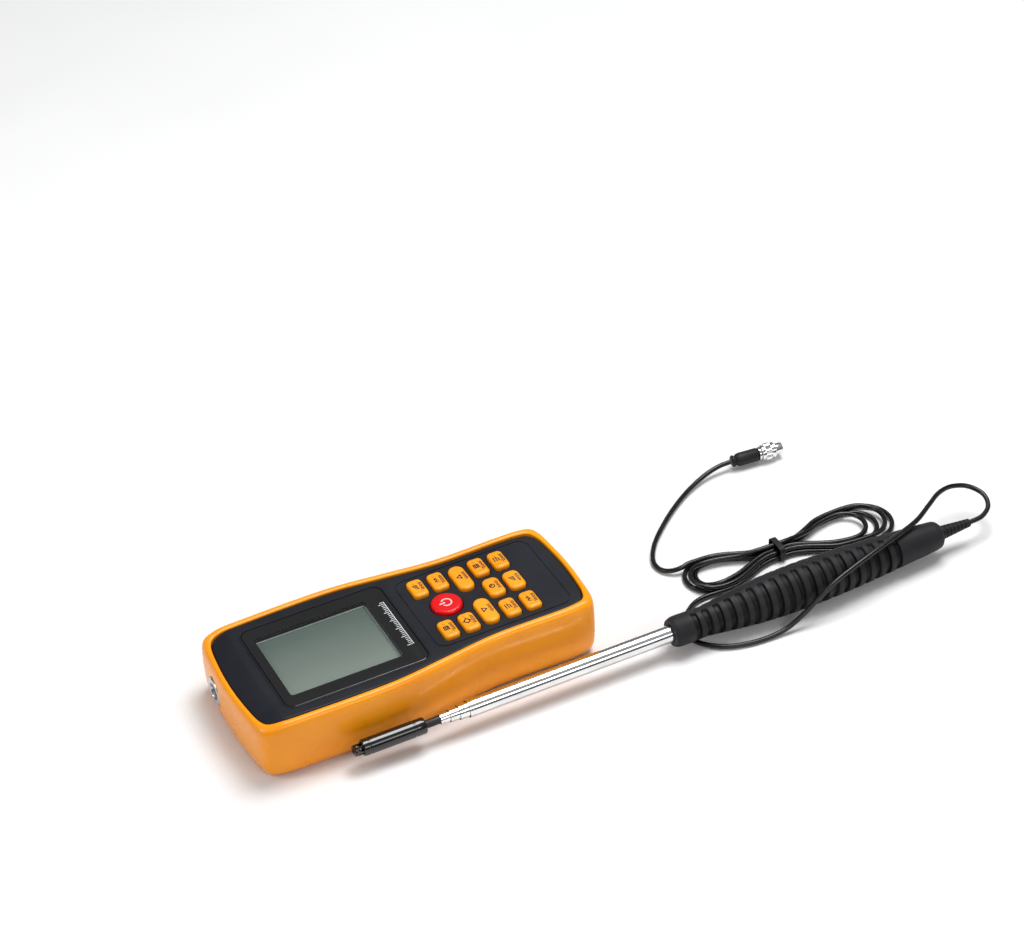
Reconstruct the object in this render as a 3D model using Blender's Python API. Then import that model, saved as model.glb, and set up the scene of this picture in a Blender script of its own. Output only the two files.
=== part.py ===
"""Hot-wire anemometer: a handheld meter with a wired telescopic air-velocity probe.

All sizes are in millimetres and become metres when a mesh is made. +Z is up. The origin is the
centre of the meter's back rest face. X runs along the meter, from the display end (-X) to the
keypad end (+X). The probe lies beside the meter, parallel to X, with its cable tied in a hank.
"""
import math

import bmesh
import bpy
from mathutils import Vector

MM = 0.001
GAP = 0.3                      # running and assembly clearance between neighbouring pieces

# ---- meter housing -----------------------------------------------------------------------------
METER_LENGTH = 200.0
DISPLAY_WIDTH = 92.0           # across the display half
GRIP_WIDTH = 78.0              # across the keypad half
WAIST_FROM = 80.0 - METER_LENGTH / 2       # the sides draw in between these two stations
WAIST_TO = METER_LENGTH / 2 - 62.0
FACE_Z = 35.2                  # flat front face above the rest face
RIM_RISE = 1.4                 # the orange rim above the face at the keypad end
REAR_WALL = 2.8
REAR_FLOOR = 2.4
RIM_WIDTH = 5.2
END_SHARE = 0.72               # the rim and walls are this much thinner at the two ends
FRONT_PLATE = 2.6
FRONT_SKIRT_WALL = 2.0
FRONT_SKIRT_Z = FACE_Z - 6.7
ROLL_FROM = 16.0 - METER_LENGTH / 2        # the face rolls down towards the display end from here
ROLL_DROP = 4.6

# ---- display -------------------------------------------------------------------------------------
WINDOW_SIZE = (80.0, 67.0)
WINDOW_FROM_END = 22.5         # from the display end of the meter to the window
WINDOW_CENTRE_X = WINDOW_FROM_END + WINDOW_SIZE[0] / 2 - METER_LENGTH / 2
WINDOW_CORNER = 5.0
WINDOW_THICK = 1.3
WINDOW_PROUD = 0.1
LCD_CENTRE_X = WINDOW_CENTRE_X - 3.2
LCD_VIEW = (64.0, 51.0)
LCD_BODY = (70.0, 57.0)

# ---- keypad --------------------------------------------------------------------------------------
KEY_TOP = FACE_Z + 2.2
KEY_TRAVEL = 1.0
KEY_ROWS = 5
KEY_ROW_PITCH = 11.95
KEY_ROW_X = METER_LENGTH / 2 - 32.8 - (KEY_ROWS - 1) * KEY_ROW_PITCH
KEY_COLUMN_Y = 19.0
KEY_SIZE = (8.8, 14.2)
KEY_LONG_SIZE = (9.0, 20.6)
KEY_LONG_Y = 15.3
KEY_MIDDLE_SIZE = (9.4, 15.0)
POWER_KEY_X = KEY_ROW_X + 8.0
POWER_KEY_DIAMETER = 17.0
KEY_FLANGE = 0.7
KEY_FLANGE_THICK = 0.7
KEY_LOW_Z = FACE_Z - FRONT_PLATE - GAP - KEY_FLANGE_THICK

# ---- electronics and power -----------------------------------------------------------------------
MEMBRANE_THICK = 1.8
MEMBRANE_Z = KEY_LOW_Z - KEY_TRAVEL - GAP - MEMBRANE_THICK
BOARD_THICK = 1.6
BOARD_Z = MEMBRANE_Z - GAP - BOARD_THICK
BOARD_SPAN = (20.0 - METER_LENGTH / 2, METER_LENGTH / 2 - 18.0)
BOARD_HALF_WIDTH = GRIP_WIDTH / 2 - 11.0
CHIP_X = LCD_CENTRE_X + 10.7
CHIP_SIZE = (12.0, 12.0, 1.8)
BUZZER_PLACE = (LCD_CENTRE_X - 21.3, -14.0)
BUZZER_RADIUS = 6.0
BUZZER_HEIGHT = 6.0
CELL_COUNT = 4
CELL_DIAMETER = 14.2
CELL_LENGTH = 50.2
CELL_PITCH = CELL_DIAMETER + 0.5
CELL_TIP = (1.0, 2.6)          # length and radius of the terminal at a cell's end
TRAY_WALL = 1.2
TRAY_FROM_END = 21.0           # from the keypad end of the meter to the tray
CONTACT_THICK = 1.2
CONTACT_ROOM = 2.4
CONTACT_HEIGHT = 10.0
TRAY_CENTRE_X = METER_LENGTH / 2 - TRAY_FROM_END - TRAY_WALL - CELL_LENGTH / 2 - CONTACT_ROOM - GAP
DOOR_THICK = 1.9
DOOR_RECESS = 0.3
DOOR_CORNER = 3.0
THUMB_SIZE = (3.0, 16.0, 0.8)  # length, width and depth of the thumb notch

# ---- housing screws ------------------------------------------------------------------------------
SCREW_RADIUS = 1.4
SCREW_HEAD_RADIUS = 2.9
SCREW_LENGTH = 12.0
SCREW_RECESS = 1.3
BOSS_RADIUS = 3.6
SCREW_LEFT = (16.0 - METER_LENGTH / 2, DISPLAY_WIDTH / 2 - 14.0)
SCREW_RIGHT = (METER_LENGTH / 2 - 12.0, GRIP_WIDTH / 2 - 16.0)
SCREW_PLACES = tuple((x, side * y) for x, y in (SCREW_LEFT, SCREW_RIGHT) for side in (1, -1))

# ---- probe socket in the display end -------------------------------------------------------------
SOCKET_Y = 18.0
SOCKET_Z = FRONT_SKIRT_Z - 11.5
SOCKET_RADIUS = 5.9
SOCKET_BORE = SOCKET_RADIUS - 1.3
SOCKET_DEPTH = 11.0
SOCKET_FLANGE = (SOCKET_RADIUS + 2.0, 1.1)
SOCKET_LENGTH = 17.0
SOCKET_SEAT = 10.0
SOCKET_NUT = 3.0

# ---- probe ---------------------------------------------------------------------------------------
PROBE_Y = -DISPLAY_WIDTH / 2 - 9.5
TUBE_COUNT = 4
TUBE_RADIUS = 4.7                          # outside of the outer section
TUBE_WALL = 0.3
TUBE_LIP = (0.5, 0.15)                     # length and depth of the rolled front edge
TUBE_RADII = tuple(TUBE_RADIUS - number * (TUBE_WALL + GAP) for number in range(TUBE_COUNT))
TUBE_FRONT = 11.0                          # front end of the outer section
TUBE_STEP = 5.3                            # each inner section shows this much when pushed in
TUBE_BACK_STEP = 12.0                      # each inner section also ends this much sooner inside
INNER_FRONT = TUBE_FRONT - TUBE_STEP * (TUBE_COUNT - 1)
STEM_RADIUS = TUBE_RADII[-1] - TUBE_WALL - 0.4
STEM_INSIDE = 30.0                         # length of stem held in the inner section
SLEEVE_TRAVEL = 8.0
SLEEVE_LENGTH = 35.0
SLEEVE_BACK = INNER_FRONT - SLEEVE_TRAVEL - 2 * GAP
SLEEVE_SPAN = (SLEEVE_BACK - SLEEVE_LENGTH, SLEEVE_BACK)
SENSOR_LENGTH = 9.5
SENSOR_TIP = SLEEVE_SPAN[0] - 5.0
SENSOR_RADIUS = 3.1
SENSOR_WALL = 0.6
SENSOR_MOUTH = 1.2                         # radius of the hole in the nose
BEAD_RADIUS = 0.5
SLEEVE_WALL = 1.0
SLEEVE_RADIUS = max(SENSOR_RADIUS, STEM_RADIUS) + 0.4 + SLEEVE_WALL
HANDLE_WALL = 2.2
HANDLE_ROLL = 70.0                         # degrees from halves on top of each other to the way it lies
HANDLE_FRONT = 131.0
HANDLE_LENGTH = 168.0
HANDLE_PROFILE = (                         # share of the length, radius
    (0.0, 7.4), (0.015, 8.3), (0.06, 8.4), (0.11, 8.2), (0.20, 9.9), (0.32, 11.9), (0.45, 12.7),
    (0.58, 12.4), (0.72, 11.3), (0.86, 9.6), (0.95, 8.5), (0.99, 7.6), (1.0, 6.2),
)
PROBE_Z = max(radius for _share, radius in HANDLE_PROFILE)
HANDLE_NOSE_SHARE = 0.11                   # the bore fits the outer section up to here
HANDLE_TAIL_SHARE = 0.96                   # and the strain relief from here
HANDLE_SCREW_RADIUS = 1.0
HANDLE_SCREW_HEAD = 1.9
HANDLE_SCREW_SINK = 2.8
HANDLE_SCREW_END = 5.0
HANDLE_POST_RADIUS = 2.9
RELIEF_LENGTH = 20.0
RELIEF_INSIDE = 8.0
RELIEF_RADII = (4.0, 2.4)
HANDLE_TAIL = HANDLE_FRONT + HANDLE_LENGTH
HANDLE_SCREW_X = (HANDLE_TAIL - 57.12, HANDLE_TAIL - RELIEF_INSIDE - HANDLE_POST_RADIUS - 0.86)
HANDLE_BOARD_SIZE = (11.0, 1.2)            # width and thickness
TUBE_BACK = HANDLE_SCREW_X[0] - HANDLE_POST_RADIUS - 4.0

# ---- cable, hank and plug ------------------------------------------------------------------------
CABLE_RADIUS = 1.4
CABLE_TO_HANK = (                          # from the strain relief, over the handle, under its nose
    (319.3, -55.5, 12.7), (328.0, -54.6, 12.9), (335.5, -49.5, 13.8), (338.0, -41.0, 15.4),
    (333.0, -33.2, 17.6), (323.5, -31.2, 20.0), (312.5, -35.0, 22.4), (300.5, -43.0, 23.8),
    (288.0, -51.0, 24.2), (275.0, -56.6, 24.8), (262.0, -60.6, 24.9), (248.0, -64.4, 24.0),
    (236.0, -67.0, 22.2), (225.0, -69.2, 19.8), (214.0, -71.2, 15.2), (203.0, -72.4, 8.4),
    (192.0, -73.0, 3.2), (180.0, -73.0, 1.6), (168.0, -71.6, 1.6), (156.0, -67.2, 1.6),
    (147.5, -59.5, 1.6), (144.0, -50.0, 1.6), (146.5, -40.6, 1.6), (153.5, -33.4, 1.6),
    (160.8, -28.4, 1.6), (167.5, -24.0, 1.6),
)
CABLE_TO_PLUG = (                          # from the hank round to the plug
    (167.8, -2.0, 1.6), (162.6, 0.8, 1.6), (158.8, 5.2, 1.6), (157.9, 11.0, 1.6), (160.4, 18.0, 1.6),
    (167.6, 28.2, 1.6),
    (178.6, 39.0, 1.6), (192.0, 50.0, 1.7), (206.6, 59.4, 2.2), (221.0, 65.4, 3.6), (231.0, 67.0, 5.0),
    (238.1, 66.9, 5.4),
)
CABLE_POINT_STEP = 7.0
HANK_ENDS = ((164.0, -13.0), (294.0, -15.5))
HANK_TIE_SHARE = 0.44
HANK_HALF_WIDTHS = (15.5, 5.7, 17.2)       # left lobe, waist, right lobe
HANK_Z = (0.3, 8.0)
TIE_WIDTH = 4.0
TIE_THICK = 0.9
PLUG_AT = (238.4, 66.9, 5.4)
PLUG_TURN = -5.0                           # degrees from +X
BOOT_LENGTH = 17.0
BOOT_RADIUS = 3.9
SHELL_RADIUS = 4.0
RING_RADIUS = 5.0
RING_SPAN = (19.0, 27.5)
SHELL_END = 32.0
INSERT_RADIUS = 2.9

# ---- materials: colour, roughness, metallic ------------------------------------------------------
FINISHES = {
    "orange_plastic": ((0.90, 0.30, 0.02), 0.30, 0.0),
    "charcoal_plastic": ((0.035, 0.035, 0.040), 0.55, 0.0),
    "black_plastic": ((0.012, 0.012, 0.013), 0.35, 0.0),
    "window_glass": ((0.02, 0.02, 0.02), 0.05, 0.0),
    "lcd_glass": ((0.16, 0.20, 0.16), 0.20, 0.0),
    "red_plastic": ((0.70, 0.02, 0.02), 0.30, 0.0),
    "key_plastic": ((0.92, 0.36, 0.03), 0.35, 0.0),
    "board": ((0.02, 0.16, 0.06), 0.45, 0.0),
    "silicone": ((0.30, 0.30, 0.32), 0.70, 0.0),
    "steel": ((0.62, 0.62, 0.62), 0.25, 1.0),
    "chrome": ((0.80, 0.80, 0.80), 0.12, 1.0),
    "brass": ((0.70, 0.52, 0.22), 0.30, 1.0),
    "battery_wrap": ((0.10, 0.12, 0.15), 0.35, 0.2),
    "handle_plastic": ((0.03, 0.03, 0.032), 0.60, 0.0),
    "rubber": ((0.015, 0.015, 0.016), 0.55, 0.0),
}


# ==== scene and mesh helpers ======================================================================
def clear_scene():
    for old in list(bpy.data.objects):
        bpy.data.objects.remove(old, do_unlink=True)


def new_collection(name):
    collection = bpy.data.collections.new(name)
    bpy.context.scene.collection.children.link(collection)
    return collection


def make_finishes():
    made = {}
    for name, (colour, roughness, metallic) in FINISHES.items():
        material = bpy.data.materials.new(name)
        material.use_nodes = True
        shader = material.node_tree.nodes["Principled BSDF"]
        shader.inputs["Base Color"].default_value = (*colour, 1.0)
        shader.inputs["Roughness"].default_value = roughness
        shader.inputs["Metallic"].default_value = metallic
        made[name] = material
    return made


clear_scene()
PARTS = new_collection("hot_wire_anemometer")
CUTTERS = new_collection("cutters")
MATERIALS = make_finishes()


def empty_at(name, at, turn_deg=0.0):
    empty = bpy.data.objects.new(name, None)
    empty.location = Vector(at) * MM
    empty.rotation_euler = (0.0, 0.0, math.radians(turn_deg))
    PARTS.objects.link(empty)
    return empty


def mesh_object(name, bm, finish, at=(0.0, 0.0, 0.0), parent=None):
    """Turn a bmesh in millimetres into an object in metres with its origin at `at`."""
    bmesh.ops.recalc_face_normals(bm, faces=bm.faces[:])
    bmesh.ops.scale(bm, vec=(MM, MM, MM), verts=bm.verts[:])
    mesh = bpy.data.meshes.new(name)
    bm.to_mesh(mesh)
    bm.free()
    thing = bpy.data.objects.new(name, mesh)
    thing.location = Vector(at) * MM
    thing.parent = parent
    if finish is None:
        CUTTERS.objects.link(thing)
        thing.hide_render = True
        thing.display_type = "WIRE"
    else:
        mesh.materials.append(MATERIALS[finish])
        mesh.shade_smooth()
        mesh.set_sharp_from_angle(angle=math.radians(35))
        PARTS.objects.link(thing)
    return thing


def boolean(thing, other, operation):
    modifier = thing.modifiers.new(operation.lower() + "_" + other.name, "BOOLEAN")
    modifier.operation = operation
    modifier.object = other
    modifier.solver = "EXACT"


def cut(thing, *cutters):
    for cutter in cutters:
        boolean(thing, cutter, "DIFFERENCE")


def join(thing, *additions):
    for addition in additions:
        boolean(thing, addition, "UNION")


def catmull_rom(points, per_span, closed=False):
    """Smooth curve through the points: centripetal Catmull-Rom, per_span steps to each span."""
    points = [Vector(p) for p in points]
    if closed:
        padded = [points[-1]] + points + points[:2]
    else:
        first = points[0] * 2 - points[1]
        last = points[-1] * 2 - points[-2]
        padded = [first] + points + [last]
    curve = []
    for i in range(len(padded) - 3):
        p0, p1, p2, p3 = padded[i:i + 4]
        t0 = 0.0
        t1 = t0 + (p1 - p0).length ** 0.5
        t2 = t1 + (p2 - p1).length ** 0.5
        t3 = t2 + (p3 - p2).length ** 0.5
        for step in range(per_span):
            t = t1 + (t2 - t1) * step / per_span
            a1 = p0 * ((t1 - t) / (t1 - t0)) + p1 * ((t - t0) / (t1 - t0))
            a2 = p1 * ((t2 - t) / (t2 - t1)) + p2 * ((t - t1) / (t2 - t1))
            a3 = p2 * ((t3 - t) / (t3 - t2)) + p3 * ((t - t2) / (t3 - t2))
            b1 = a1 * ((t2 - t) / (t2 - t0)) + a2 * ((t - t0) / (t2 - t0))
            b2 = a2 * ((t3 - t) / (t3 - t1)) + a3 * ((t - t1) / (t3 - t1))
            curve.append(b1 * ((t2 - t) / (t2 - t1)) + b2 * ((t - t1) / (t2 - t1)))
    if not closed:
        curve.append(points[-1])
    return curve


def even_points(curve, step):
    """Points along a dense curve at an even spacing near `step`, both ends kept."""
    runs = [(b - a).length for a, b in zip(curve, curve[1:])]
    total = sum(runs)
    count = max(2, round(total / step))
    wanted = [total * i / count for i in range(1, count)]
    picked = [curve[0]]
    walked = 0.0
    for (a, b), run in zip(zip(curve, curve[1:]), runs):
        while wanted and walked + run >= wanted[0]:
            picked.append(a.lerp(b, (wanted.pop(0) - walked) / run))
        walked += run
    picked.append(curve[-1])
    return picked


def bridge(bm, ring_a, ring_b):
    for i in range(len(ring_a)):
        j = (i + 1) % len(ring_a)
        bm.faces.new((ring_a[i], ring_a[j], ring_b[j], ring_b[i]))


def cap_across(bm, ring):
    """Close a ring that is symmetric about y = 0 with strips that run from side to side."""
    count = len(ring)
    half = count // 2
    bm.faces.new((ring[0], ring[1], ring[count - 1]))
    for i in range(1, half - 1):
        bm.faces.new((ring[i], ring[i + 1], ring[count - i - 1], ring[count - i]))
    bm.faces.new((ring[half - 1], ring[half], ring[half + 1]))


def ring_verts(bm, points):
    return [bm.verts.new(p) for p in points]


def rounded_rectangle(size_x, size_y, corner, steps=4):
    """Outline points of a rectangle with round corners, centred on the origin."""
    points = []
    for quarter, (sx, sy) in enumerate(((1, 1), (-1, 1), (-1, -1), (1, -1))):
        centre = Vector((sx * (size_x / 2 - corner), sy * (size_y / 2 - corner)))
        for step in range(steps + 1):
            angle = math.pi / 2 * (quarter + step / steps)
            points.append(centre + Vector((math.cos(angle), math.sin(angle))) * corner)
    return points


def prism(name, outline, z_low, z_high, finish, at=(0.0, 0.0), parent=None):
    """A flat outline made solid between two heights, with its origin at the low face."""
    bm = bmesh.new()
    low = ring_verts(bm, [(p[0], p[1], 0.0) for p in outline])
    high = ring_verts(bm, [(p[0], p[1], z_high - z_low) for p in outline])
    bridge(bm, low, high)
    bm.faces.new(low)
    bm.faces.new(high)
    return mesh_object(name, bm, finish, (at[0], at[1], z_low), parent)


def box(name, low, high, finish, parent=None):
    bm = bmesh.new()
    bmesh.ops.create_cube(bm, size=1.0)
    centre = (Vector(low) + Vector(high)) / 2
    size = Vector(high) - Vector(low)
    bmesh.ops.scale(bm, vec=size, verts=bm.verts[:])
    return mesh_object(name, bm, finish, centre, parent)


def cylinder(name, radius, z_low, z_high, finish, at=(0.0, 0.0), sides=20, parent=None):
    bm = bmesh.new()
    depth = z_high - z_low
    bmesh.ops.create_cone(bm, cap_ends=True, segments=sides, radius1=radius, radius2=radius,
                          depth=depth)
    return mesh_object(name, bm, finish, (at[0], at[1], (z_low + z_high) / 2), parent)


def turned(name, profile, finish, at=(0.0, 0.0, 0.0), sides=24, parent=None):
    """Spin a closed profile of (x, radius) points about the X axis through `at`."""
    bm = bmesh.new()
    verts = ring_verts(bm, [(x, 0.0, radius) for x, radius in profile])
    edges = [bm.edges.new((verts[i], verts[(i + 1) % len(verts)])) for i in range(len(verts))]
    edges = [edge for edge in edges if max(abs(v.co.z) for v in edge.verts) > 1e-6]
    bmesh.ops.spin(bm, geom=edges, cent=(0.0, 0.0, 0.0), axis=(1.0, 0.0, 0.0),
                   angle=2 * math.pi, steps=sides)
    bmesh.ops.remove_doubles(bm, verts=bm.verts[:], dist=1e-4)
    loose = [edge for edge in bm.edges if not edge.link_faces]
    bmesh.ops.delete(bm, geom=loose, context="EDGES")
    return mesh_object(name, bm, finish, at, parent)


def tube_profile(x_from, x_to, outer, inner):
    return ((x_from, outer), (x_to, outer), (x_to, inner), (x_from, inner))


def rod_profile(x_from, x_to, radius):
    return ((x_from, 0.0), (x_from, radius), (x_to, radius), (x_to, 0.0))


# ==== meter housing ===============================================================================
def meter_outline(inset):
    """Plan outline of the meter, drawn in by `inset` at the sides and END_SHARE of it at the ends."""
    end = METER_LENGTH / 2 - inset * END_SHARE
    wide = DISPLAY_WIDTH / 2 - inset
    grip = GRIP_WIDTH / 2 - inset
    half = [
        (-end, 0.0), (-end + 1.0, wide * 0.5), (-end + 2.9, wide - 7.6), (-end + 5.2, wide - 3.3),
        (-end + 10.5, wide - 1.2), (-end + 32.0, wide), (WAIST_FROM, wide),
        ((WAIST_FROM + WAIST_TO) / 2, (wide + grip) / 2), (WAIST_TO, grip), (end - 11.5, grip - 0.3),
        (end - 4.6, grip - 2.3), (end - 2.1, grip - 7.4), (end - 0.8, grip * 0.5), (end, 0.0),
    ]
    mirrored = [(x, -y) for x, y in reversed(half[1:-1])]
    return catmull_rom([(x, y, 0.0) for x, y in half + mirrored], 3, closed=True)


def face_z(x):
    """Height of the front face, rolled down towards the display end."""
    if x >= ROLL_FROM:
        return FACE_Z
    past = (ROLL_FROM - x) / (METER_LENGTH / 2 + ROLL_FROM)
    return FACE_Z - ROLL_DROP * past * (0.6 + 0.4 * past)


def rim_z(x):
    """Height of the rim's crest: lowest round the display end, highest at the keypad end."""
    share = (x + METER_LENGTH / 2) / METER_LENGTH
    return FACE_Z + 0.3 + (RIM_RISE - 0.3) * share - (FACE_Z - face_z(x)) * 0.6


def housing_ring(bm, inset, height):
    """A ring of the meter outline; height is a number or a function of x."""
    level = height if callable(height) else (lambda x: height)
    return ring_verts(bm, [(p.x, p.y, level(p.x)) for p in meter_outline(inset)])


def make_rear_housing():
    bm = bmesh.new()
    under_rim = FRONT_SKIRT_Z + 2.6
    rings = [
        housing_ring(bm, 7.0, 0.0),
        housing_ring(bm, 4.0, 1.2),
        housing_ring(bm, 1.6, 4.0),
        housing_ring(bm, 0.4, 9.5),
        housing_ring(bm, 0.0, 20.0),
        housing_ring(bm, 0.3, lambda x: rim_z(x) - 4.4),
        housing_ring(bm, 1.2, lambda x: rim_z(x) - 1.6),
        housing_ring(bm, 3.2, rim_z),
        housing_ring(bm, RIM_WIDTH, lambda x: rim_z(x) - 0.3),
        housing_ring(bm, RIM_WIDTH, under_rim),
        housing_ring(bm, REAR_WALL, under_rim - 2.4),
        housing_ring(bm, REAR_WALL + 0.6, 9.0),
        housing_ring(bm, REAR_WALL + 3.6, REAR_FLOOR),
    ]
    for ring_a, ring_b in zip(rings, rings[1:]):
        bridge(bm, ring_a, ring_b)
    cap_across(bm, rings[0])
    cap_across(bm, rings[-1])
    housing = mesh_object("rear_housing", bm, "orange_plastic")
    door_hole = prism("door_hole_cut", rounded_rectangle(*door_opening(), DOOR_CORNER), -1.0,
                      REAR_FLOOR + 1.0, None, (TRAY_CENTRE_X, 0.0))
    cut(housing, door_hole)
    for number, place in enumerate(SCREW_PLACES, 1):
        cut(housing, screw_hole_form(f"screw_hole_cut_{number}", place))
    back = -METER_LENGTH / 2
    flange_radius, flange_thick = SOCKET_FLANGE
    seat = turned("socket_seat_form", rod_profile(back + 1.6, back + SOCKET_SEAT, flange_radius + 2.0), None,
                  (0.0, SOCKET_Y, SOCKET_Z))
    step = socket_face() + flange_thick + GAP
    stepped = ((back - 5.0, 0.0), (back - 5.0, flange_radius + GAP), (step, flange_radius + GAP),
               (step, SOCKET_RADIUS + GAP), (back + SOCKET_SEAT + 5.0, SOCKET_RADIUS + GAP),
               (back + SOCKET_SEAT + 5.0, 0.0))
    socket_hole = turned("socket_hole_cut", stepped, None, (0.0, SOCKET_Y, SOCKET_Z))
    join(housing, seat)
    cut(housing, socket_hole)


def screw_hole_form(name, place):
    """A screw's stepped hole through the rear floor, standing along Z."""
    head = SCREW_HEAD_RADIUS + GAP
    shank = SCREW_RADIUS + GAP
    through = REAR_FLOOR + 1.0
    profile = ((-1.0, 0.0), (-1.0, head), (SCREW_RECESS, head), (SCREW_RECESS, shank), (through, shank),
               (through, 0.0))
    form = turned(name, profile, None, (place[0], place[1], 0.0), 20)
    form.rotation_euler = (0.0, -math.pi / 2, 0.0)
    return form


def make_front_housing():
    bm = bmesh.new()
    outer = RIM_WIDTH + GAP
    inner = outer + FRONT_SKIRT_WALL
    rings = [
        housing_ring(bm, inner, lambda x: face_z(x) - FRONT_PLATE),
        housing_ring(bm, inner, FRONT_SKIRT_Z),
        housing_ring(bm, outer, FRONT_SKIRT_Z),
        housing_ring(bm, outer, lambda x: face_z(x) - 0.8),
        housing_ring(bm, outer + 0.9, face_z),
    ]
    for ring_a, ring_b in zip(rings, rings[1:]):
        bridge(bm, ring_a, ring_b)
    cap_across(bm, rings[0])
    cap_across(bm, rings[-1])
    housing = mesh_object("front_housing", bm, "charcoal_plastic")
    recess = prism("window_recess_cut", rounded_rectangle(WINDOW_SIZE[0] + 2 * GAP, WINDOW_SIZE[1] + 2 * GAP,
                   WINDOW_CORNER), window_low() - GAP, FACE_Z + 3.0, None, (WINDOW_CENTRE_X, 0.0))
    view = prism("lcd_view_cut", rounded_rectangle(*LCD_VIEW, 1.0, 2), FACE_Z - 6.0, FACE_Z + 3.0, None,
                 (LCD_CENTRE_X, 0.0))
    cut(housing, recess, view)
    for name, at, outline, _finish in key_list():
        hole = prism("hole_cut_" + name, grown(outline, GAP), FACE_Z - 6.0, FACE_Z + 3.0, None, at)
        cut(housing, hole)
    for number, place in enumerate(SCREW_PLACES, 1):
        post = cylinder(f"boss_form_{number}", BOSS_RADIUS, REAR_FLOOR + GAP,
                        face_z(place[0]) - FRONT_PLATE / 2, None, place)
        bore = cylinder(f"boss_bore_cut_{number}", SCREW_RADIUS + GAP, 0.0, SCREW_LENGTH + 2.0, None, place)
        join(housing, post)
        cut(housing, bore)


def make_housing_screws():
    head_low = SCREW_RECESS - 0.9
    for number, place in enumerate(SCREW_PLACES, 1):
        profile = ((head_low, 0.0), (head_low, SCREW_HEAD_RADIUS), (SCREW_RECESS - GAP, SCREW_HEAD_RADIUS),
                   (SCREW_RECESS - GAP, SCREW_RADIUS), (SCREW_LENGTH, SCREW_RADIUS),
                   (SCREW_LENGTH + 0.8, 0.0))
        screw = turned(f"housing_screw_{number}", profile, "steel", (place[0], place[1], 0.0), 16)
        screw.rotation_euler = (0.0, -math.pi / 2, 0.0)


# ==== display =====================================================================================
def window_low():
    return FACE_Z + WINDOW_PROUD - WINDOW_THICK


def make_display():
    prism("display_window", rounded_rectangle(*WINDOW_SIZE, WINDOW_CORNER), window_low(),
          FACE_Z + WINDOW_PROUD, "window_glass", (WINDOW_CENTRE_X, 0.0))
    prism("lcd_module", rounded_rectangle(*LCD_BODY, 1.0, 2), BOARD_Z + BOARD_THICK + GAP,
          FACE_Z - FRONT_PLATE - GAP, "lcd_glass", (LCD_CENTRE_X, 0.0))


# ==== keypad ======================================================================================
def grown(outline, amount):
    """An outline moved outwards along its own normals."""
    count = len(outline)
    moved = []
    for i, point in enumerate(outline):
        along = (outline[(i + 1) % count] - outline[i - 1]).normalized()
        moved.append(point + Vector((along.y, -along.x)) * amount)
    return moved


def key_list():
    """Name, place, outline and finish of every key."""
    small = rounded_rectangle(*KEY_SIZE, 2.6, 3)
    long = rounded_rectangle(*KEY_LONG_SIZE, KEY_LONG_SIZE[0] / 2 - 0.2, 4)
    middle = rounded_rectangle(*KEY_MIDDLE_SIZE, 3.4, 3)
    power_points = 24
    power = [Vector((math.cos(a), math.sin(a))) * (POWER_KEY_DIAMETER / 2)
             for a in (2 * math.pi * i / power_points for i in range(power_points))]
    rows = [KEY_ROW_X + KEY_ROW_PITCH * row for row in range(KEY_ROWS)]
    keys = []
    for side_name, side in (("left", 1), ("right", -1)):
        for row in range(KEY_ROWS):
            y, outline = (KEY_LONG_Y, long) if row == 2 else (KEY_COLUMN_Y, small)
            keys.append((f"key_{side_name}_{row + 1}", (rows[row], side * y), outline, "key_plastic"))
    for row in (3, 4):
        keys.append((f"key_middle_{row + 1}", (rows[row], 0.0), middle, "key_plastic"))
    keys.append(("key_power", (POWER_KEY_X, 0.0), power, "red_plastic"))
    return keys


def make_keys():
    """Each key is a domed cap through the face with a flange that stops it from coming out."""
    height = KEY_TOP - KEY_LOW_Z
    levels = ((KEY_FLANGE, 0.0), (KEY_FLANGE, KEY_FLANGE_THICK), (0.0, KEY_FLANGE_THICK), (0.0, height - 1.2),
              (-0.7, height - 0.25), (-1.8, height))
    for name, at, outline, finish in key_list():
        bm = bmesh.new()
        rings = [ring_verts(bm, [(p.x, p.y, z) for p in grown(outline, growth)]) for growth, z in levels]
        for ring_a, ring_b in zip(rings, rings[1:]):
            bridge(bm, ring_a, ring_b)
        bm.faces.new(rings[0])
        bm.faces.new(rings[-1])
        mesh_object(name, bm, finish, (at[0], at[1], KEY_LOW_Z))


def make_membrane():
    margin = KEY_ROW_PITCH / 2
    first = KEY_ROW_X - margin
    last = KEY_ROW_X + (KEY_ROWS - 1) * KEY_ROW_PITCH + margin
    prism("keypad_membrane", rounded_rectangle(last - first, 2 * BOARD_HALF_WIDTH - 2.0, 3.0, 3), MEMBRANE_Z,
          MEMBRANE_Z + MEMBRANE_THICK, "silicone", ((first + last) / 2, 0.0))


# ==== electronics and power =======================================================================
def make_electronics():
    middle = sum(BOARD_SPAN) / 2
    prism("main_board", rounded_rectangle(BOARD_SPAN[1] - BOARD_SPAN[0], 2 * BOARD_HALF_WIDTH, 2.0, 2),
          BOARD_Z, BOARD_Z + BOARD_THICK, "board", (middle, 0.0))
    top = BOARD_Z - GAP
    long, wide, thick = CHIP_SIZE
    box("processor_chip", (CHIP_X - long / 2, -wide / 2, top - thick), (CHIP_X + long / 2, wide / 2, top),
        "black_plastic")
    cylinder("buzzer", BUZZER_RADIUS, top - BUZZER_HEIGHT, top, "black_plastic", BUZZER_PLACE)


def tray_inside():
    """Length and width inside the battery tray."""
    return (CELL_LENGTH + 2 * (CONTACT_ROOM + GAP), CELL_COUNT * CELL_PITCH + 2 * GAP)


def door_opening():
    length, width = tray_inside()
    return (length - 1.0, width - 2.0)


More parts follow.
